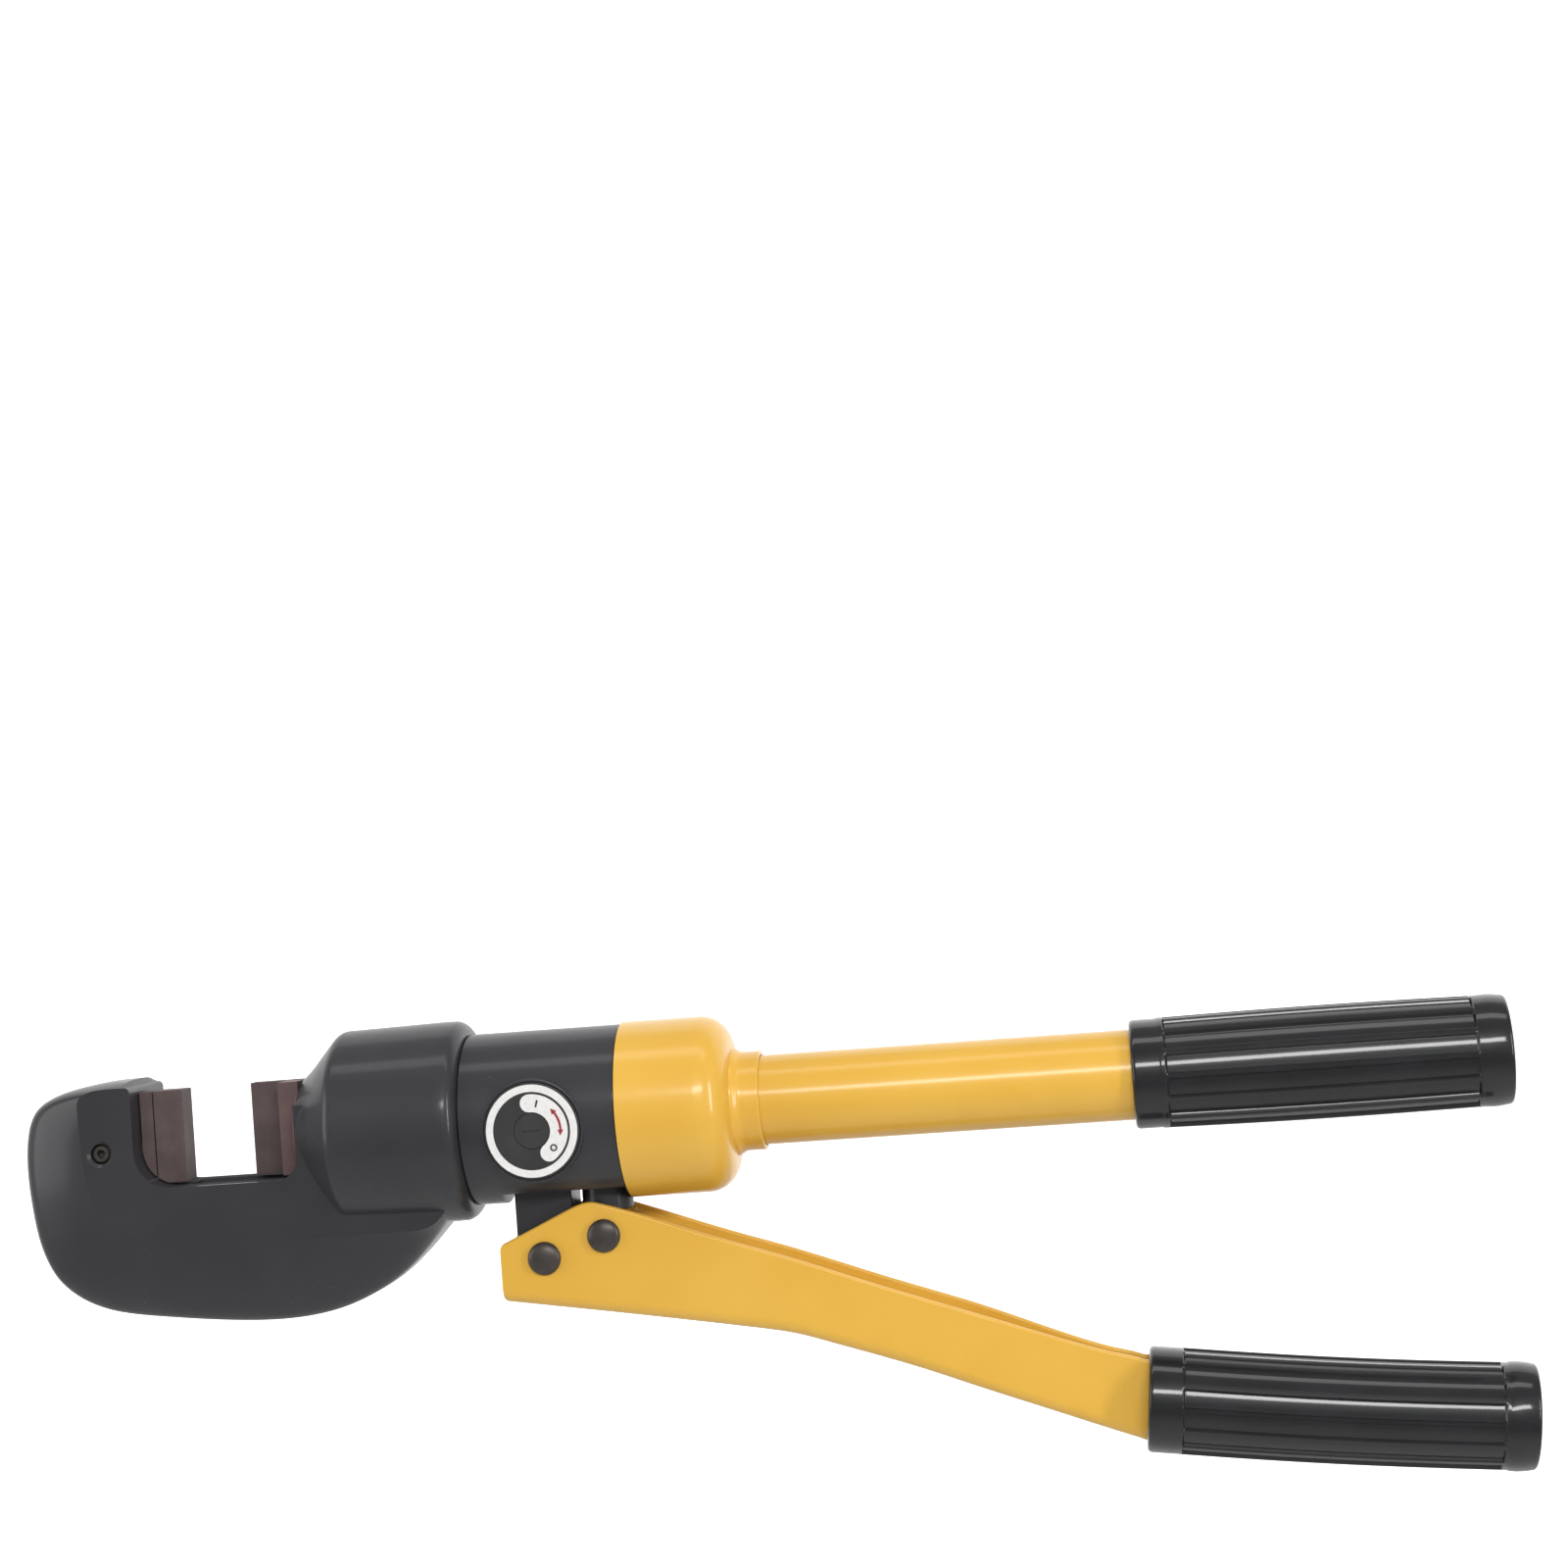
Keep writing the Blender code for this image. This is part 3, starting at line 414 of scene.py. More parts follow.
brown_blade = grained_steel("brown_blade", paint(84, 73, 72), paint(102, 88, 87),
                            rough=0.52, metal=0.08, squeeze=(9, 9, 1), clouds=90.0, shine=0.12)
ram_steel = grained_steel("ram_steel", paint(91, 74, 73), paint(110, 89, 87),
                          rough=0.46, metal=0.10, squeeze=(1, 9, 9), clouds=90.0, shine=0.2)
dark_steel = grained_steel("dark_steel", paint(60, 55, 52), paint(76, 70, 66),
                           rough=0.30, metal=0.45, squeeze=(2, 2, 2), clouds=200.0)
bright_steel = grained_steel("bright_steel", paint(176, 177, 180), paint(206, 207, 210),
                             rough=0.18, metal=1.0, squeeze=(1, 1, 9), clouds=120.0)
spring_steel = grained_steel("spring_steel", paint(112, 115, 122), paint(146, 149, 155),
                             rough=0.28, metal=1.0, squeeze=(4, 4, 4), clouds=220.0)
ball_steel = grained_steel("ball_steel", paint(200, 201, 205), paint(222, 223, 226),
                           rough=0.08, metal=1.0, squeeze=(2, 2, 2), clouds=300.0, relief=0.001)
brass = grained_steel("brass", paint(168, 128, 62), paint(206, 166, 92),
                      rough=0.24, metal=1.0, squeeze=(3, 3, 9), clouds=150.0)
print("steels:", brown_blade.name, dark_steel.name, bright_steel.name)

# %% [markdown]
# ## Rubber and print
# The hand grips are moulded rubber with a fine grain from the mould and a polish from the palms that hold
# them, which a thin coat gives. Seals are plain black rubber. The dial's marks are screen print.


# %% Mix rubbers, seal plastic and print inks
def rubber(name, deep, light, rough, grain_scale, relief, polish=0.0):
    coat = Coat(name, Coat_Weight=polish, Coat_Roughness=0.10, Specular_IOR_Level=0.5 - 0.4 * polish)
    cells = coat.node("ShaderNodeTexVoronoi", {"feature": "SMOOTH_F1"},
                      {"Vector": coat.object_place, "Scale": grain_scale, "Smoothness": 0.6})
    worn = coat.noise(45.0, 4.0, 0.6).between(0.38, 0.7)
    tone = coat.mix(worn, deep, light)
    bloom = coat.noise(420.0, 3.0, 0.6)
    return coat.feed(Base_Color=tone, Roughness=rough + 0.06 * worn + 0.05 * bloom,
                     Normal=coat.bump(cells * 0.7 + bloom * 0.3, relief))


def ink(name, colour, patchy):
    coat = Coat(name)
    thin = coat.noise(900.0, 4.0, 0.6).between(0.3, 0.75)
    weave = coat.noise(2600.0, 2.0, 0.5)
    return coat.feed(Base_Color=coat.mix(thin, colour, patchy), Roughness=0.38 + 0.15 * thin,
                     Normal=coat.bump(weave, 0.006))


grip_rubber = rubber("grip_rubber", paint(14, 15, 17), paint(20, 21, 24), 0.34, 1500.0, 0.004, polish=0.7)
seal_rubber = rubber("seal_rubber", paint(28, 28, 29), paint(38, 38, 40), 0.42, 1800.0, 0.008)
bladder_rubber = rubber("bladder_rubber", paint(36, 33, 31), paint(48, 44, 42), 0.5, 700.0, 0.03)
seal_plastic = rubber("seal_plastic", paint(206, 200, 174), paint(220, 214, 190), 0.36, 900.0, 0.01)
dial_black = rubber("dial_black", paint(36, 36, 36), paint(43, 43, 43), 0.40, 1600.0, 0.005)
white_ink = ink("white_ink", paint(228, 226, 224), paint(214, 212, 210))
red_ink = ink("red_ink", paint(150, 34, 40), paint(132, 30, 36))
print("rubbers and inks mixed")

# %% [markdown]
# ## Head
# One forging carries the whole cutting force: a C-shaped jaw with a flat, ridged side and a soft rounded
# rim, and the barrel behind it. The jaw could be sculpted from a subdivided block. Here its side view is
# drawn twice, once as silhouette and once as the ridge on the flat face, and the skin is drawn between the
# two, which keeps the ridge crisp and the rim evenly round.

# %% Draw the jaw
HEAD_HALF = 18.0
RIM_Y = 4.0
WALL_X, FLOOR_Z, TOP_Z, FILLET_R = -15.3, -14.7, 20.0, 12.5
BARREL_R, BARREL_FRONT, BARREL_REAR = 33.8, 41.0, 99.3
RAM_BORE, SOCKET_R, SOCKET_X = 16.8, 27.9, 60.0

# Each point of the back: x and z of the rim, then x and z of the ridge on the flat face.
back = smooth_path([(97, -22, 96, -20), (88, -34.4, 86, -33), (73.4, -48.8, 68, -34.2),
                    (58, -57.4, 50, -34.2), (42, -61.8, 34, -33.9), (22, -62.8, 16, -33.4),
                    (-6, -60.4, 0, -33), (-31, -56.2, -13.5, -31.8), (-46.2, -47.6, -22, -28.2),
                    (-53.8, -34.6, -28.6, -21.8), (-57.0, -15.4, -32.2, -10.5), (-57.0, 1.6, -33.2, 1.5),
                    (-53.4, 12.8, -33.6, 11), (-44.4, 18.4, -33.2, 17.0), (-30, 21.4, -28, 19.6),
                    (-17.6, 22, -18, 19.9)], 7)
inside = arc((WALL_X - 2.0, TOP_Z - 2.0), 2.0, 70, 0, 5)
inside += arc((WALL_X + FILLET_R, FLOOR_Z + FILLET_R), FILLET_R, 180, 270, 18)
inside += arc((BARREL_FRONT - 7, FLOOR_Z + 7), 7, 270, 360, 8)
inside += [(BARREL_FRONT, 10.0), (70.0, 10.0), (96.0, 0.0)]
outline = back + [(x, z, x, z) for x, z in inside]
print("jaw outline:", len(outline), "points")


# %% Skin the jaw and break its edges
def jaw():
    """Skin the outline from one flat face to the other; the low power keeps the rim round."""
    shares = [math.cos(math.pi / 2 * step / 12) ** 2 for step in range(13)]
    levels = [(RIM_Y + (HEAD_HALF - RIM_Y) * share ** 0.42, share) for share in shares]
    levels = [(-depth, share) for depth, share in levels] + list(reversed(levels))
    loops = [[(rx + (fx - rx) * share, depth, rz + (fz - rz) * share) for rx, rz, fx, fz in outline]
             for depth, share in levels]
    work = loft(loops)
    first_inside = len(back)
    count = len(outline)
    work.verts.ensure_lookup_table()
    rims = []                          # the pocket's edges on both faces
    for start in (0, len(work.verts) - count):
        for step in range(first_inside - 1, count):
            pair = (work.verts[start + step], work.verts[start + (step + 1) % count])
            edge = work.edges.get(pair)
            if edge and step < count - 2:
                rims.append(edge)
    bmesh.ops.bevel(work, geom=rims, offset=1.3, segments=5, profile=0.5, affect="EDGES", clamp_overlap=True)
    return work


head = to_object("head_frame_forging", jaw())
print("jaw skin:", len(head.data.polygons), "faces")

# %% Weld on the barrel, then bore it
cone = [(BARREL_FRONT, 0.0), (BARREL_FRONT, 17.6, 0.6), (45.6, 21.8, 3.0), (50.6, 27.6, 4.0),
        (55.6, 33.0, 2.0)]
rear_lip = arc((BARREL_REAR - 5.0, BARREL_R - 5.0), 5.0, 78, 4, 8)
combine(head, turned(soften(cone + [(92.0, BARREL_R)]) + rear_lip + [(BARREL_REAR, 0.0)]), "UNION")
# The ram's bore with a groove for the wiper, then the wide socket for the cylinder.
bore = [(0.0, 0.0), (0.0, RAM_BORE), (49.7, RAM_BORE), (49.7, 19.5), (53.3, 19.5), (53.3, RAM_BORE),
        (SOCKET_X, RAM_BORE), (SOCKET_X, SOCKET_R), (BARREL_REAR + 6, SOCKET_R), (BARREL_REAR + 6, 0.0)]
combine(head, turned(bore))
holder_hole = [(-36.0, 0.0), (-36.0, 5.3), (-12.0, 5.3), (-12.0, 0.0)]
combine(head, turned(holder_hole, "X", (0, -3.5, -1.9), 48))
screw_seat = [(-30.0, 0.0), (-30.0, 5.0), (-18.3, 4.9), (-17.1, 3.5), (-15.9, 3.3), (-3.5, 3.3), (-3.5, 0.0)]
combine(head, turned(screw_seat, "Y", (-27.0, 0.0, -1.9), 48))
lock_hole = [(22.0, 0.0), (22.0, 2.9), (40.0, 2.9), (40.0, 0.0)]
combine(head, turned(lock_hole, "Y", (93.0, 0.0, 0.0), 32))
shade(head, 30)
place(head, black_enamel, "body", "black_enamel", ["head_frame"])

# %% [markdown]
# ## Cylinder
# A turned steel block between head and cap holds the valves. A lug for the lever's pin and a boss for the
# pump hang below it, and a round boss on the side carries the release dial. Turned shapes welded on and
# bored follow the way the real block is machined from bar.

# %% Turn the cylinder and weld its lugs
CYLINDER_R, CYLINDER_REAR = 28.8, 152.0
VALVE = (124.4, 0.0, -3.0)             # on the release valve's axis, along Y
PIVOT = (122.3, -46.8)                 # the lever's pin, x and z
CRANK = (142.9, -40.5)                 # the pin that works the plunger
side = [(60.5, 0.0), (60.5, 27.6, 0.5), (99.6, 27.6), (99.6, CYLINDER_R, 0.3),
        (CYLINDER_REAR, CYLINDER_R, 0.3), (CYLINDER_REAR, 24.6), (166.0, 24.6, 0.8), (166.0, 6.0),
        (180.0, 6.0, 0.5), (180.0, 2.6), (148.0, 2.6), (148.0, 0.0)]
cylinder = to_object("cylinder_block", turned(soften(side)))
# A flat under the block, where the lug and the pump boss stand.
combine(cylinder, box((109.0, -20.0, -40.0), (CYLINDER_REAR - 0.6, 20.0, -24.6)))
dial_boss = [(-28.8, 0.0), (-28.8, 17.2, 0.5), (-12.0, 17.2), (-12.0, 0.0)]
combine(cylinder, turned(soften(dial_boss), "Y", VALVE), "UNION")
piston_bore = [(50.0, 0.0), (50.0, 22.0), (115.0, 22.0), (115.0, 0.0)]
combine(cylinder, turned(piston_bore))
dial_seat = [(-40.0, 0.0), (-40.0, 16.3), (-27.8, 16.3), (-27.8, 4.6), (-9.0, 4.6), (-9.0, 0.0)]
combine(cylinder, turned(dial_seat, "Y", VALVE))
print("block:", len(cylinder.data.polygons), "faces")

# %% Bore the valves, add lug and pump boss
VALVE_BORES = (("X", (0, 9.0, 1.5), 113.0, 134.0, 1.6),        # axis, centre, start, end and radius
               ("Z", (133.0, 9.0, 0), -1.0, 40.0, 3.6),
               ("Z", (144.5, 9.0, 0), 4.0, 40.0, 3.6),
               ("Y", (124.4, 0, -8.0), 12.0, 40.0, 3.6))
for axis, centre, low, high, radius in VALVE_BORES:
    combine(cylinder, turned([(low, 0.0), (low, radius), (high, radius), (high, 0.0)], axis, centre, 32))
lug = [(PIVOT[0] - 9.7, -23.2)] + arc(PIVOT, 9.7, 180, 360, 24) + [(PIVOT[0] + 9.7, -23.2)]
lug_work = extruded(lug, -8.7, 8.7)
# Only the outline's edges on both faces of the lug are broken, not the ones inside the block.
sides = [edge for edge in lug_work.edges if abs(edge.verts[0].co.y - edge.verts[1].co.y) < 0.1
         and min(v.co.z for v in edge.verts) < -24]
bmesh.ops.bevel(lug_work, geom=sides, offset=0.6, segments=3, profile=0.5, affect="EDGES", clamp_overlap=True)
combine(cylinder, lug_work, "UNION")
pin_bore = [(-12.0, 0.0), (-12.0, 4.3), (12.0, 4.3), (12.0, 0.0)]
combine(cylinder, turned(pin_bore, "Y", (PIVOT[0], 0, PIVOT[1]), 48))
boss = soften([(-33.0, 0.0), (-33.0, 8.6, 0.7), (-21.0, 8.6), (-21.0, 0.0)])
combine(cylinder, turned(boss, "Z", (CRANK[0], 0, 0), 64), "UNION")
pump_bore = [(-40.0, 0.0), (-40.0, 7.5), (-28.2, 7.5), (-28.2, 7.2), (-20.0, 7.2), (-20.0, 4.3), (-3.5, 4.3),
             (-3.5, 0.0)]
combine(cylinder, turned(pump_bore, "Z", (CRANK[0], 0, 0), 64))
shade(cylinder, 30)
place(cylinder, black_enamel, "body", "black_enamel", ["cylinder_body"])

# %% [markdown]
# ## Release dial
# Turning the little knob in the middle of the dial lets the oil run back, and the ram returns. The knob
# lies flush in the plate, so only its outline and a fine slot show. The plate is printed with a white ring,
# a band that shows the way to turn, and a red double arrow. Print could be painted in the shader, but thin
# solid ink keeps its edge crisp from any distance.

# %% Turn the plate and print it
PLATE_FACE, PLATE_R = -29.4, 16.0
INK = 0.12
plate = soften([(-28.1, 6.0), (PLATE_FACE, 6.0, 0.1), (PLATE_FACE, PLATE_R, 0.3), (-28.1, PLATE_R)])
dial_plate = to_object("dial_face", turned(plate, "Y", VALVE))
shade(dial_plate)
place(dial_plate, dial_black, "body", "dial_plate", ["dial_plate"])
knob_profile = soften([(-29.5, 0.0), (-29.5, 5.85, 0.1), (-28.1, 5.7), (-28.1, 0.0)])
knob = to_object("release_knob_turned", turned(knob_profile, "Y", VALVE))
combine(knob, box((VALVE[0] - 3.0, -30.0, VALVE[2] - 0.25), (VALVE[0] + 3.0, -29.2, VALVE[2] + 0.25)))
shade(knob)
place(knob, dial_black, "release", "black_grip", ["release_knob"])


def printed(name, points, coat, layer=1):
    """A flat print from (x, z) points about the dial's centre. Layer 2 lies on layer 1."""
    low = PLATE_FACE - INK * layer
    work = extruded([(VALVE[0] + x, VALVE[2] + z) for x, z in points], low, low + INK)
    piece = to_object(name, work)
    place(piece, coat, "body", "dial_plate")


ring = [(PLATE_FACE - INK, 15.3), (PLATE_FACE, 15.3), (PLATE_FACE, 12.9), (PLATE_FACE - INK, 12.9)]
place(to_object("print_ring", turned(ring, "Y", VALVE)), white_ink, "body", "dial_plate")
BAND_R = 9.15


def about_dial(radius, angle):
    """The (x, z) of a point round the dial's centre, the angle in degrees."""
    return radius * math.cos(math.radians(angle)), radius * math.sin(math.radians(angle))


def band(radius, half, start, end):
    """A band along an arc with round ends."""
    tip = about_dial(radius, end)
    tail = about_dial(radius, start)
    return (arc((0, 0), radius + half, start, end, 40) + arc(tip, half, end, end - 180, 12)[1:-1]
            + arc((0, 0), radius - half, end, start, 40) + arc(tail, half, start + 180, start, 12)[1:-1])


printed("print_band", band(BAND_R, 2.95, 92, -54), white_ink)


def double_arrow(radius, half, start, end, head):
    """A thin arc between two arrow heads."""
    reach = math.degrees(head / radius)
    points = arc((0, 0), radius + half, start - reach, end + reach, 16)
    for angle, way in ((end, 1), (start, -1)):
        neck = angle + way * reach
        points += [about_dial(radius + way * head * 0.5, neck), about_dial(radius, angle),
                   about_dial(radius - way * head * 0.5, neck)]
        if way == 1:
            points += arc((0, 0), radius - half, end + reach, start - reach, 16)
    return points


printed("print_arrow", double_arrow(9.7, 0.36, 46, -12, 1.9), red_ink, 2)
bar = [(-0.28, -1.2), (0.28, -1.2), (0.28, 1.2), (-0.28, 1.2)]
lean = Matrix.Rotation(math.radians(-16), 2)
at_bar = Vector(about_dial(BAND_R, 76))
printed("print_closed_mark", [tuple(lean @ Vector(point) + at_bar) for point in bar], dial_black, 2)
circle_x, circle_z = about_dial(BAND_R, -40)
circle = [(PLATE_FACE - 2 * INK, 1.2), (PLATE_FACE - INK, 1.2), (PLATE_FACE - INK, 0.7),
          (PLATE_FACE - 2 * INK, 0.7)]
circle = turned(circle, "Y", (VALVE[0] + circle_x, 0, VALVE[2] + circle_z), 32)
place(to_object("print_open_mark", circle), dial_black, "body", "dial_plate")

# %% [markdown]
# ## Cap and handle tube
# The yellow cap closes the cylinder, and the tube screwed into it is both handle and oil tank. Both are
# turned, so both are profiles spun round the axis, with the soft shoulder and the little collar drawn in. A
# cylinder with a bevel would give every edge the same width.

# %% Turn the cap and the tube
CAP_R, COLLAR_R, COLLAR_REAR, TUBE_R = 29.5, 16.6, 198.5, 15.0
front = CYLINDER_REAR + 0.3
cap_profile = soften([(front, CAP_R, 0.5)]) + arc((178.3, CAP_R - 10.5), 10.5, 90, 8, 18)
cap_profile += soften([(189.8, COLLAR_R + 1.4, 0.8), (191.6, COLLAR_R, 1.0), (COLLAR_REAR, COLLAR_R, 1.0),
                       (COLLAR_REAR, TUBE_R + 0.3), (181.0, TUBE_R + 0.3), (178.5, 16.0), (172.0, 22.5),
                       (167.0, 24.9), (front, 24.9)])
cap = to_object("rear_cap_shell", turned(cap_profile))
shade(cap)
place(cap, yellow_enamel, "body", "yellow_enamel", ["rear_cap"])
tube_profile = soften([(183.0, TUBE_R, 0.4), (440.0, TUBE_R, 0.3), (440.0, 12.8), (183.0, 12.8)])
tube = to_object("handle_tube_skin", turned(tube_profile))
shade(tube)
place(tube, yellow_enamel, "body", "yellow_enamel", ["handle_tube"])

# %% [markdown]
# ## Hand grips
# Both grips come from moulds of one pattern: plain bands at the ends and fourteen square-ended flutes
# between them. A lathe can't cut flutes, and modelling one and repeating it leaves seams. A Geometry Nodes
# tree can sink a turned grip wherever the angle round it falls between two ribs: one rule, any number.


# %% The flute rule as a Geometry Nodes tree
def flute_tree():
    tree = bpy.data.node_groups.new("flutes", "GeometryNodeTree")
    face = tree.interface
    face.new_socket("Geometry", in_out="INPUT", socket_type="NodeSocketGeometry")
    for title in ("Flutes", "Depth", "Rib Share", "Start", "End", "Ramp", "Least Radius"):
        face.new_socket(title, in_out="INPUT", socket_type="NodeSocketFloat")
    face.new_socket("Coat", in_out="INPUT", socket_type="NodeSocketMaterial")
    face.new_socket("Geometry", in_out="OUTPUT", socket_type="NodeSocketGeometry")
    given = tree.nodes.new("NodeGroupInput").outputs

    def add(kind, settings, links, output=0):
        made = tree.nodes.new(kind)
        for key, value in settings.items():
            setattr(made, key, value)
        for key, value in links.items():
            if isinstance(value, bpy.types.NodeSocket):
                tree.links.new(value, made.inputs[key])
            else:
                made.inputs[key].default_value = value
        return made.outputs[output]

    def sum_up(operation, *values):
        return add("ShaderNodeMath", {"operation": operation}, dict(enumerate(values)))

    def step_up(value, low, high):
        return add("ShaderNodeMapRange", {"interpolation_type": "SMOOTHSTEP"},
                   {"Value": value, "From Min": low, "From Max": high})

    apart = add("ShaderNodeSeparateXYZ", {}, {0: add("GeometryNodeInputPosition", {}, {})})
    x, y, z = apart, apart.node.outputs[1], apart.node.outputs[2]
    radius = sum_up("SQRT", sum_up("ADD", sum_up("MULTIPLY", y, y), sum_up("MULTIPLY", z, z)))
    angle = sum_up("ARCTAN2", z, y)
    turns = sum_up("DIVIDE", sum_up("MULTIPLY", angle, given["Flutes"]), math.tau)
    wave = sum_up("PINGPONG", sum_up("ADD", turns, 100.0), 0.5)
    rib = sum_up("MULTIPLY", given["Rib Share"], 0.5)
    groove = step_up(wave, sum_up("SUBTRACT", rib, 0.035), sum_up("ADD", rib, 0.055))
    begun = step_up(x, given["Start"], sum_up("ADD", given["Start"], given["Ramp"]))
    ended = step_up(x, sum_up("SUBTRACT", given["End"], given["Ramp"]), given["End"])
    within = sum_up("MULTIPLY", begun, sum_up("SUBTRACT", 1.0, ended))
    outside = sum_up("GREATER_THAN", radius, given["Least Radius"])
    sink = sum_up("MULTIPLY", sum_up("MULTIPLY", given["Depth"], groove), sum_up("MULTIPLY", within, outside))
    share = sum_up("DIVIDE", sink, sum_up("MAXIMUM", radius, 0.001))
    across = add("ShaderNodeCombineXYZ", {}, {1: y, 2: z})
    inwards = add("ShaderNodeVectorMath", {"operation": "SCALE"},
                  {0: across, "Scale": sum_up("MULTIPLY", share, -1.0)})
    moved = add("GeometryNodeSetPosition", {}, {"Geometry": given["Geometry"], "Offset": inwards})
    solid = add("GeometryNodeRealizeInstances", {}, {"Geometry": moved})
    coated = add("GeometryNodeSetMaterial", {}, {"Geometry": solid, "Material": given["Coat"]})
    tree.links.new(coated, tree.nodes.new("NodeGroupOutput").inputs[0])
    return tree


FLUTE_TREE = flute_tree()
print("flute tree:", len(FLUTE_TREE.nodes), "nodes")


# %% Turn a grip and flute it
FLUTES = 14
FLUTES_BEGIN = 11.0                    # from either end of the grip


def grip_blank(length, end_r, middle_r, bore_r, bore_end):
    """A turned grip with many rings where the flutes begin and end."""
    rings = [(0.0, end_r - 1.6), (0.15, end_r - 0.9), (0.6, end_r - 0.3), (1.5, end_r)]
    rings += [(FLUTES_BEGIN - 2.4, end_r)]
    run = length - 2 * FLUTES_BEGIN
    # The rings lie close together at both ends of the flutes, where these sink steeply.
    shares = [step * 0.0028 - 0.012 for step in range(9)] + [0.02 + 0.96 * step / 36 for step in range(37)]
    shares += [0.9896 + step * 0.0028 for step in range(9)]
    for share in shares:
        swell = math.sin(math.pi * (0.12 + 0.76 * min(max(share, 0.0), 1.0)))
        rings.append((FLUTES_BEGIN + run * share, end_r + (middle_r - end_r) * swell))
    # The band at the far end is crowned, and its rim is round.
    rings += [(length - 8.5, end_r + 0.32), (length - 6.4, end_r + 0.42), (length - 4.3, end_r + 0.32)]
    rings += [(length - 2.6, end_r + 0.1), (length - 1.1, end_r - 0.1), (length - 0.5, end_r - 0.35),
              (length - 0.12, end_r - 0.8), (length, end_r - 1.4), (length, 0.0)]
    return [(bore_end, 0.0), (bore_end, bore_r), (0.0, bore_r)] + rings


def fluted(name, profile, length):
    piece = to_object(name, turned(profile, "X", (0, 0, 0), FLUTES * 24))
    step = piece.modifiers.new("flutes", "NODES")
    step.node_group = FLUTE_TREE
    sizes = {"Flutes": float(FLUTES), "Depth": 1.1 * MM, "Rib Share": 0.24, "Start": FLUTES_BEGIN * MM,
             "End": (length - FLUTES_BEGIN) * MM, "Ramp": 0.7 * MM, "Least Radius": 16.6 * MM,
             "Coat": grip_rubber}
    for item in FLUTE_TREE.interface.items_tree:
        if item.name in sizes:
            step[item.identifier] = sizes[item.name]
    bake_modifiers(piece)
    return piece


GRIP_LENGTH = 122.7
UPPER_FRONT = 321.7
upper = fluted("upper_grip_moulding", grip_blank(GRIP_LENGTH, 18.1, 18.8, TUBE_R + 0.3, 119.8), GRIP_LENGTH)
upper.data.transform(Matrix.Translation((UPPER_FRONT * MM, 0, 0)))
shade(upper, 40)
place(upper, grip_rubber, "body", "black_grip", ["upper_grip"])

# %% [markdown]
# The lower grip is the same moulding on the pressed lever, so its bore is a slot, and it is bowed by about
# a millimetre along its length. It is made straight, bowed and then laid on the lever's slope.

# %% The lower grip
LOWER_FRONT = Vector((318.5, 0.0, -106.8))
LOWER_SLOPE = math.radians(5.9)
LOWER_LENGTH = 125.3
BOW = 1.0
lower = fluted("lower_grip_moulding", grip_blank(LOWER_LENGTH, 17.3, 17.25, 0.0, 0.0), LOWER_LENGTH)
combine(lower, box((-2.0, -6.9, -14.1), (86.0, 6.9, 14.1)))
for vertex in lower.data.vertices:
    share = vertex.co.x / (LOWER_LENGTH * MM)
    vertex.co.z -= BOW * MM * math.sin(math.pi * min(max(share, 0.0), 1.0))
lower.data.transform(Matrix.Translation(LOWER_FRONT * MM) @ Matrix.Rotation(LOWER_SLOPE, 4, "Y"))
shade(lower, 40)
place(lower, grip_rubber, "lever", "black_grip", ["lower_grip"])

# %% [markdown]
# ## Lever
# The lever is pressed from one sheet into a channel that is open at the top. Its depth follows two curves,
# its width narrows into the grip, and the sheet's edges are rounded by tumbling, which is why a thin line of
# light runs along the top. An extrusion keeps its depth and width all the way, so one section is drawn anew
# at many stations and the skin is lofted through them.

# %% Draw and loft the pressed channel
SHEET, LEVER_HALF, LEVER_HALF_AT_GRIP = 2.7, 13.0, 6.6
top_line = smooth_path([(107.0, -41.9), (110.0, -40.6), (120.0, -36.2), (130.0, -31.7), (134.5, -29.9),
                        (138.5, -29.1), (143.0, -30.1), (154.0, -33.7), (180.0, -43.3), (205.0, -51.9),
                        (235.0, -63.2), (265.0, -74.0), (292.0, -84.4), (306.0, -89.3), (313.0, -91.2),
                        (320.0, -93.1)], 8)
low_line = smooth_path([(107.0, -60.7), (150.0, -67.6), (190.0, -74.4), (204.0, -77.2), (216.0, -81.0),
                        (245.0, -91.0), (275.0, -103.0), (300.0, -113.3), (312.0, -118.0),
                        (320.0, -120.9)], 8)
LEVER_END = 107.3


def height_at(line, x):
    for (x0, z0), (x1, z1) in zip(line, line[1:]):
        if x0 <= x <= x1:
            return z0 + (z1 - z0) * (x - x0) / (x1 - x0)
    return line[-1][1]


def channel(x, top, bottom, half):
    """A U section with a rounded floor and rounded sheet edges."""
    outer = arc((half - 4.5, bottom + 4.5), 4.5, 0, -90, 7)
    inner = arc((half - 4.5, bottom + 4.5), 4.5 - SHEET, -90, 0, 5)
    lip = arc((half - SHEET / 2, top - 0.9), SHEET / 2, 180, 0, 8)
    lip = [(y, top - 0.9 + (z - top + 0.9) * 0.67) for y, z in lip]
    half_section = lip + outer
    left = [(-y, z) for y, z in reversed(half_section)]
    floor = [(-y, z) for y, z in reversed(inner)]
    return [(x, y, z) for y, z in half_section + left + floor[:-1] + [(0.0, bottom + SHEET)] + inner[1:]]


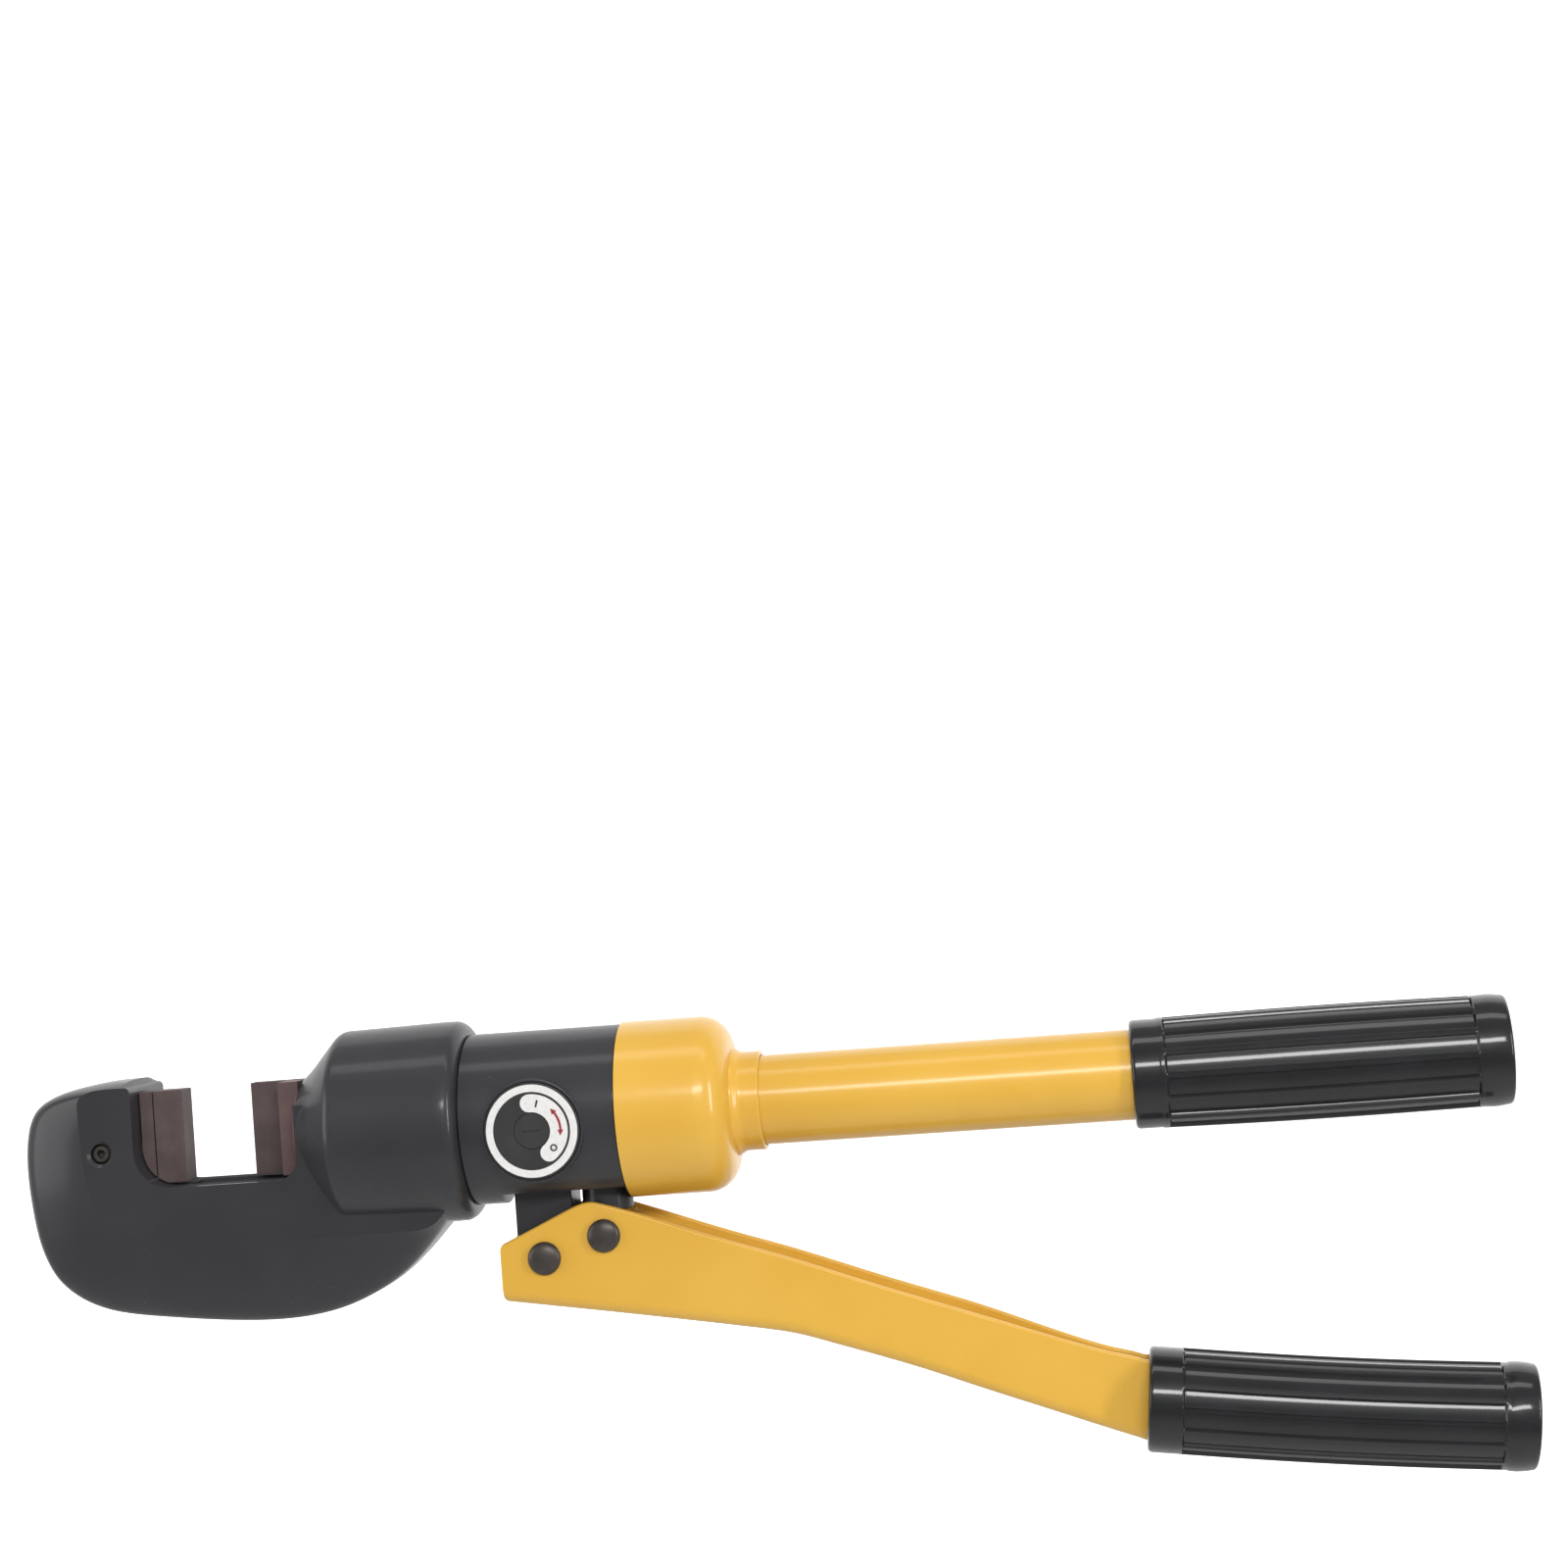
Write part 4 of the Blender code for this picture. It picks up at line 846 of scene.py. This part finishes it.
def lever_sections():
    """Sections from the rounded front end to the flat tail inside the grip."""
    sections = []
    places = [LEVER_END, 107.5, 108.0, 108.8, 110.0] + [110.0 + 2.05 * step for step in range(1, 101)]
    for x in places:
        narrow = min(max((x - 255.0) / 60.0, 0.0), 1.0)
        half = LEVER_HALF + (LEVER_HALF_AT_GRIP - LEVER_HALF) * narrow * narrow * (3 - 2 * narrow)
        inset = max(0.0, 1.0 - (x - LEVER_END) / 1.2) ** 2
        top = height_at(top_line, x) - inset
        bottom = height_at(low_line, x) + 0.5 * inset
        sections.append(channel(x, top, bottom, half))
    for x, half_height in ((318.5, 13.8), (328.0, 13.4), (398.0, 13.2)):
        middle = LOWER_FRONT.z - math.tan(LOWER_SLOPE) * (x - LOWER_FRONT.x)
        sections.append(channel(x, middle + half_height, middle - half_height, LEVER_HALF_AT_GRIP))
    return sections


lever = to_object("lever_pressing", loft(lever_sections()))
for (x, z), radius in ((PIVOT, 4.3), (CRANK, 3.2)):
    combine(lever, turned([(-20.0, 0.0), (-20.0, radius), (20.0, radius), (20.0, 0.0)], "Y", (x, 0, z), 48))
shade(lever, 38)
place(lever, yellow_enamel, "lever", "yellow_enamel", ["lever_channel"])


# %% [markdown]
# ## Pins
# Two pins hold the lever. Each has a low domed head on the near side and a snap ring in a groove on the far
# side. A slice of a sphere would do for the dome, but a quarter of an ellipse spun round the pin meets its
# rim squarely, as a pressed head does.

# %% Turn the lever's two pins
def lever_pin(name, node, at, radius):
    face = LEVER_HALF + 0.3
    quarter = [math.radians(angle) for angle in range(0, 91, 9)]
    dome = [(-face - 0.5 - 2.0 * math.cos(a), 5.55 * math.sin(a)) for a in quarter]
    shank = [(-face, 5.6, 0.3), (-face, radius), (face + 0.4, radius), (face + 0.4, radius - 0.9),
             (face + 1.6, radius - 0.9), (face + 1.6, radius), (face + 3.1, radius, 0.5), (face + 3.1, 0.0)]
    dome[0] = (dome[0][0], 0.0)
    piece = to_object(name, turned(dome + soften(shank), "Y", (at[0], 0, at[1]), 64))
    shade(piece)
    place(piece, dark_steel, "lever", "dark_steel", [node])


lever_pin("pivot_pin_turned", "pivot_pin", PIVOT, 4.0)
lever_pin("plunger_pin_turned", "plunger_pin", CRANK, 2.9)

# %% [markdown]
# ## The parts that keep their shape
# Blades, ram, most screws, plugs and plunger are already right in the frame. A copy is merged, its flat
# triangles are dissolved into faces, its edges are broken by up to a quarter of a millimetre, and it takes
# its steel. The fixed blade comes with its edges broken already. Everything that is left, such as springs,
# seals, clips and valve balls, stays as it is and only gets its finish.


# %% Refine the small parts
def refined(node, coat, body, slot, edge):
    work = bmesh.new()
    work.from_mesh(frame["nodes"][node].data)
    bmesh.ops.remove_doubles(work, verts=work.verts, dist=1e-6)
    bmesh.ops.dissolve_limit(work, angle_limit=math.radians(0.6), verts=work.verts, edges=work.edges)
    mesh = bpy.data.meshes.new(node + "_refined")
    work.to_mesh(mesh)
    work.free()
    piece = bpy.data.objects.new(node + "_refined", mesh)
    bpy.context.scene.collection.objects.link(piece)
    if edge:
        edge_round(piece, edge)
    shade(piece, 34)
    place(piece, coat, body, slot, [node])


for node, coat, body, slot, edge in (
        ("fixed_blade", brown_blade, "body", "brown_blade", 0.0),
        ("fixed_blade_holder", brown_blade, "body", "brown_blade", 0.25),
        ("moving_blade", brown_blade, "ram", "brown_blade", 0.25),
        ("ram", ram_steel, "ram", "brown_blade", 0.2),
        ("fixed_blade_screw", dark_steel, "body", "dark_steel", 0.15),
        ("head_lock_screw", dark_steel, "body", "dark_steel", 0.15),
        ("discharge_plug", dark_steel, "body", "dark_steel", 0.15),
        ("suction_plug", dark_steel, "body", "dark_steel", 0.15),
        ("relief_adjuster", dark_steel, "body", "dark_steel", 0.15),
        ("pump_plunger", bright_steel, "plunger", "bright_steel", 0.2)):
    refined(node, coat, body, slot, edge)

# %% Finishes for everything that is left
COATS = {"brown_blade": brown_blade, "dark_steel": dark_steel, "bright_steel": bright_steel,
         "spring_steel": spring_steel, "ball_steel": ball_steel, "brass": brass, "seal_rubber": seal_rubber,
         "bladder_rubber": bladder_rubber, "seal_plastic": seal_plastic, "black_grip": grip_rubber,
         "black_enamel": black_enamel, "yellow_enamel": yellow_enamel, "dial_plate": dial_black}
for entry in frame["record"]["subparts"]:
    mesh = frame["nodes"][entry["node"]].data
    mesh.materials.clear()
    mesh.materials.append(COATS[entry["material_slot"]])

# %% [markdown]
# ## Studio
# A pale sweep, floor and wall in one sheet with a curve between them, leaves no horizon behind the tool. Its
# floor lies well below, so that no shadow shows, and the wall glows behind the tool, which gives an even
# white ground without a lamp of its own. The light is soft: a dim even room and four boxes. A tall narrow one
# at the handle end draws the bright lines on edges that face it, a wide one lights the front from above, one
# hangs overhead, and a large one on the left fills the end of the head.

# %% Floor, room and lights
SWEEP_R = 1200.0
CURVE_FROM = 900.0                     # behind the tool
floor_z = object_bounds()[0].z / MM - 900.0
sweep_line = [(-3000.0, floor_z), (CURVE_FROM, floor_z)]
sweep_line += arc((CURVE_FROM, floor_z + SWEEP_R), SWEEP_R, -90, 0, 32)
sweep_line += [(CURVE_FROM + SWEEP_R, floor_z + 4900.0)]
sheet_ends = [[(x, y, z) for y, z in sweep_line] for x in (-4000.0, 4500.0)]
sweep = to_object("studio_sweep", loft(sheet_ends, closed=False, caps=False))
sweep.data.shade_smooth()
backdrop = Coat("pale_sweep", Roughness=0.9, Specular_IOR_Level=0.0, Emission_Strength=1.0)
depth = backdrop.node("ShaderNodeSeparateXYZ", {}, {0: backdrop.object_place}, output=1)
fibre = backdrop.noise(300.0, 3.0, 0.6)
sheet = backdrop.mix(fibre, paint(222, 222, 222), paint(228, 228, 228))
glow = backdrop.mix(depth.between(1.5, 1.75), (0.0, 0.0, 0.0, 1.0), (1.0, 1.0, 1.0, 1.0))
sweep.data.materials.append(backdrop.feed(Base_Color=sheet, Emission_Color=glow))

room = bpy.data.worlds.new("room")
room.use_nodes = True
room.node_tree.nodes["Background"].inputs["Color"].default_value = (1.0, 1.0, 1.0, 1.0)
room.node_tree.nodes["Background"].inputs["Strength"].default_value = 0.36
bpy.context.scene.world = room
bpy.context.scene.view_settings.view_transform = "Standard"


def soft_box(name, place_at, aim_at, width, height, power):
    """A rectangle of light, in metres and watts."""
    light = bpy.data.lights.new(name, "AREA")
    light.shape = "RECTANGLE"
    light.size = width
    light.size_y = height
    light.energy = power
    lamp = bpy.data.objects.new(name, light)
    lamp.location = place_at
    lamp.rotation_euler = (Vector(aim_at) - Vector(place_at)).to_track_quat("-Z", "Y").to_euler()
    bpy.context.scene.collection.objects.link(lamp)


soft_box("handle_end_box", (1.5, -0.75, 0.25), (0.15, 0.0, 0.0), 0.09, 0.8, 8.0)
soft_box("front_box", (0.5, -1.5, 0.66), (0.2, 0.0, 0.0), 1.1, 0.22, 15.0)
soft_box("top_box", (0.2, -0.3, 1.4), (0.2, 0.0, 0.0), 1.8, 0.30, 5.0)
soft_box("left_box", (-1.4, -0.5, 0.3), (0.0, 0.0, 0.0), 1.0, 1.1, 9.5)
print("studio ready, floor at", round(floor_z), "mm")
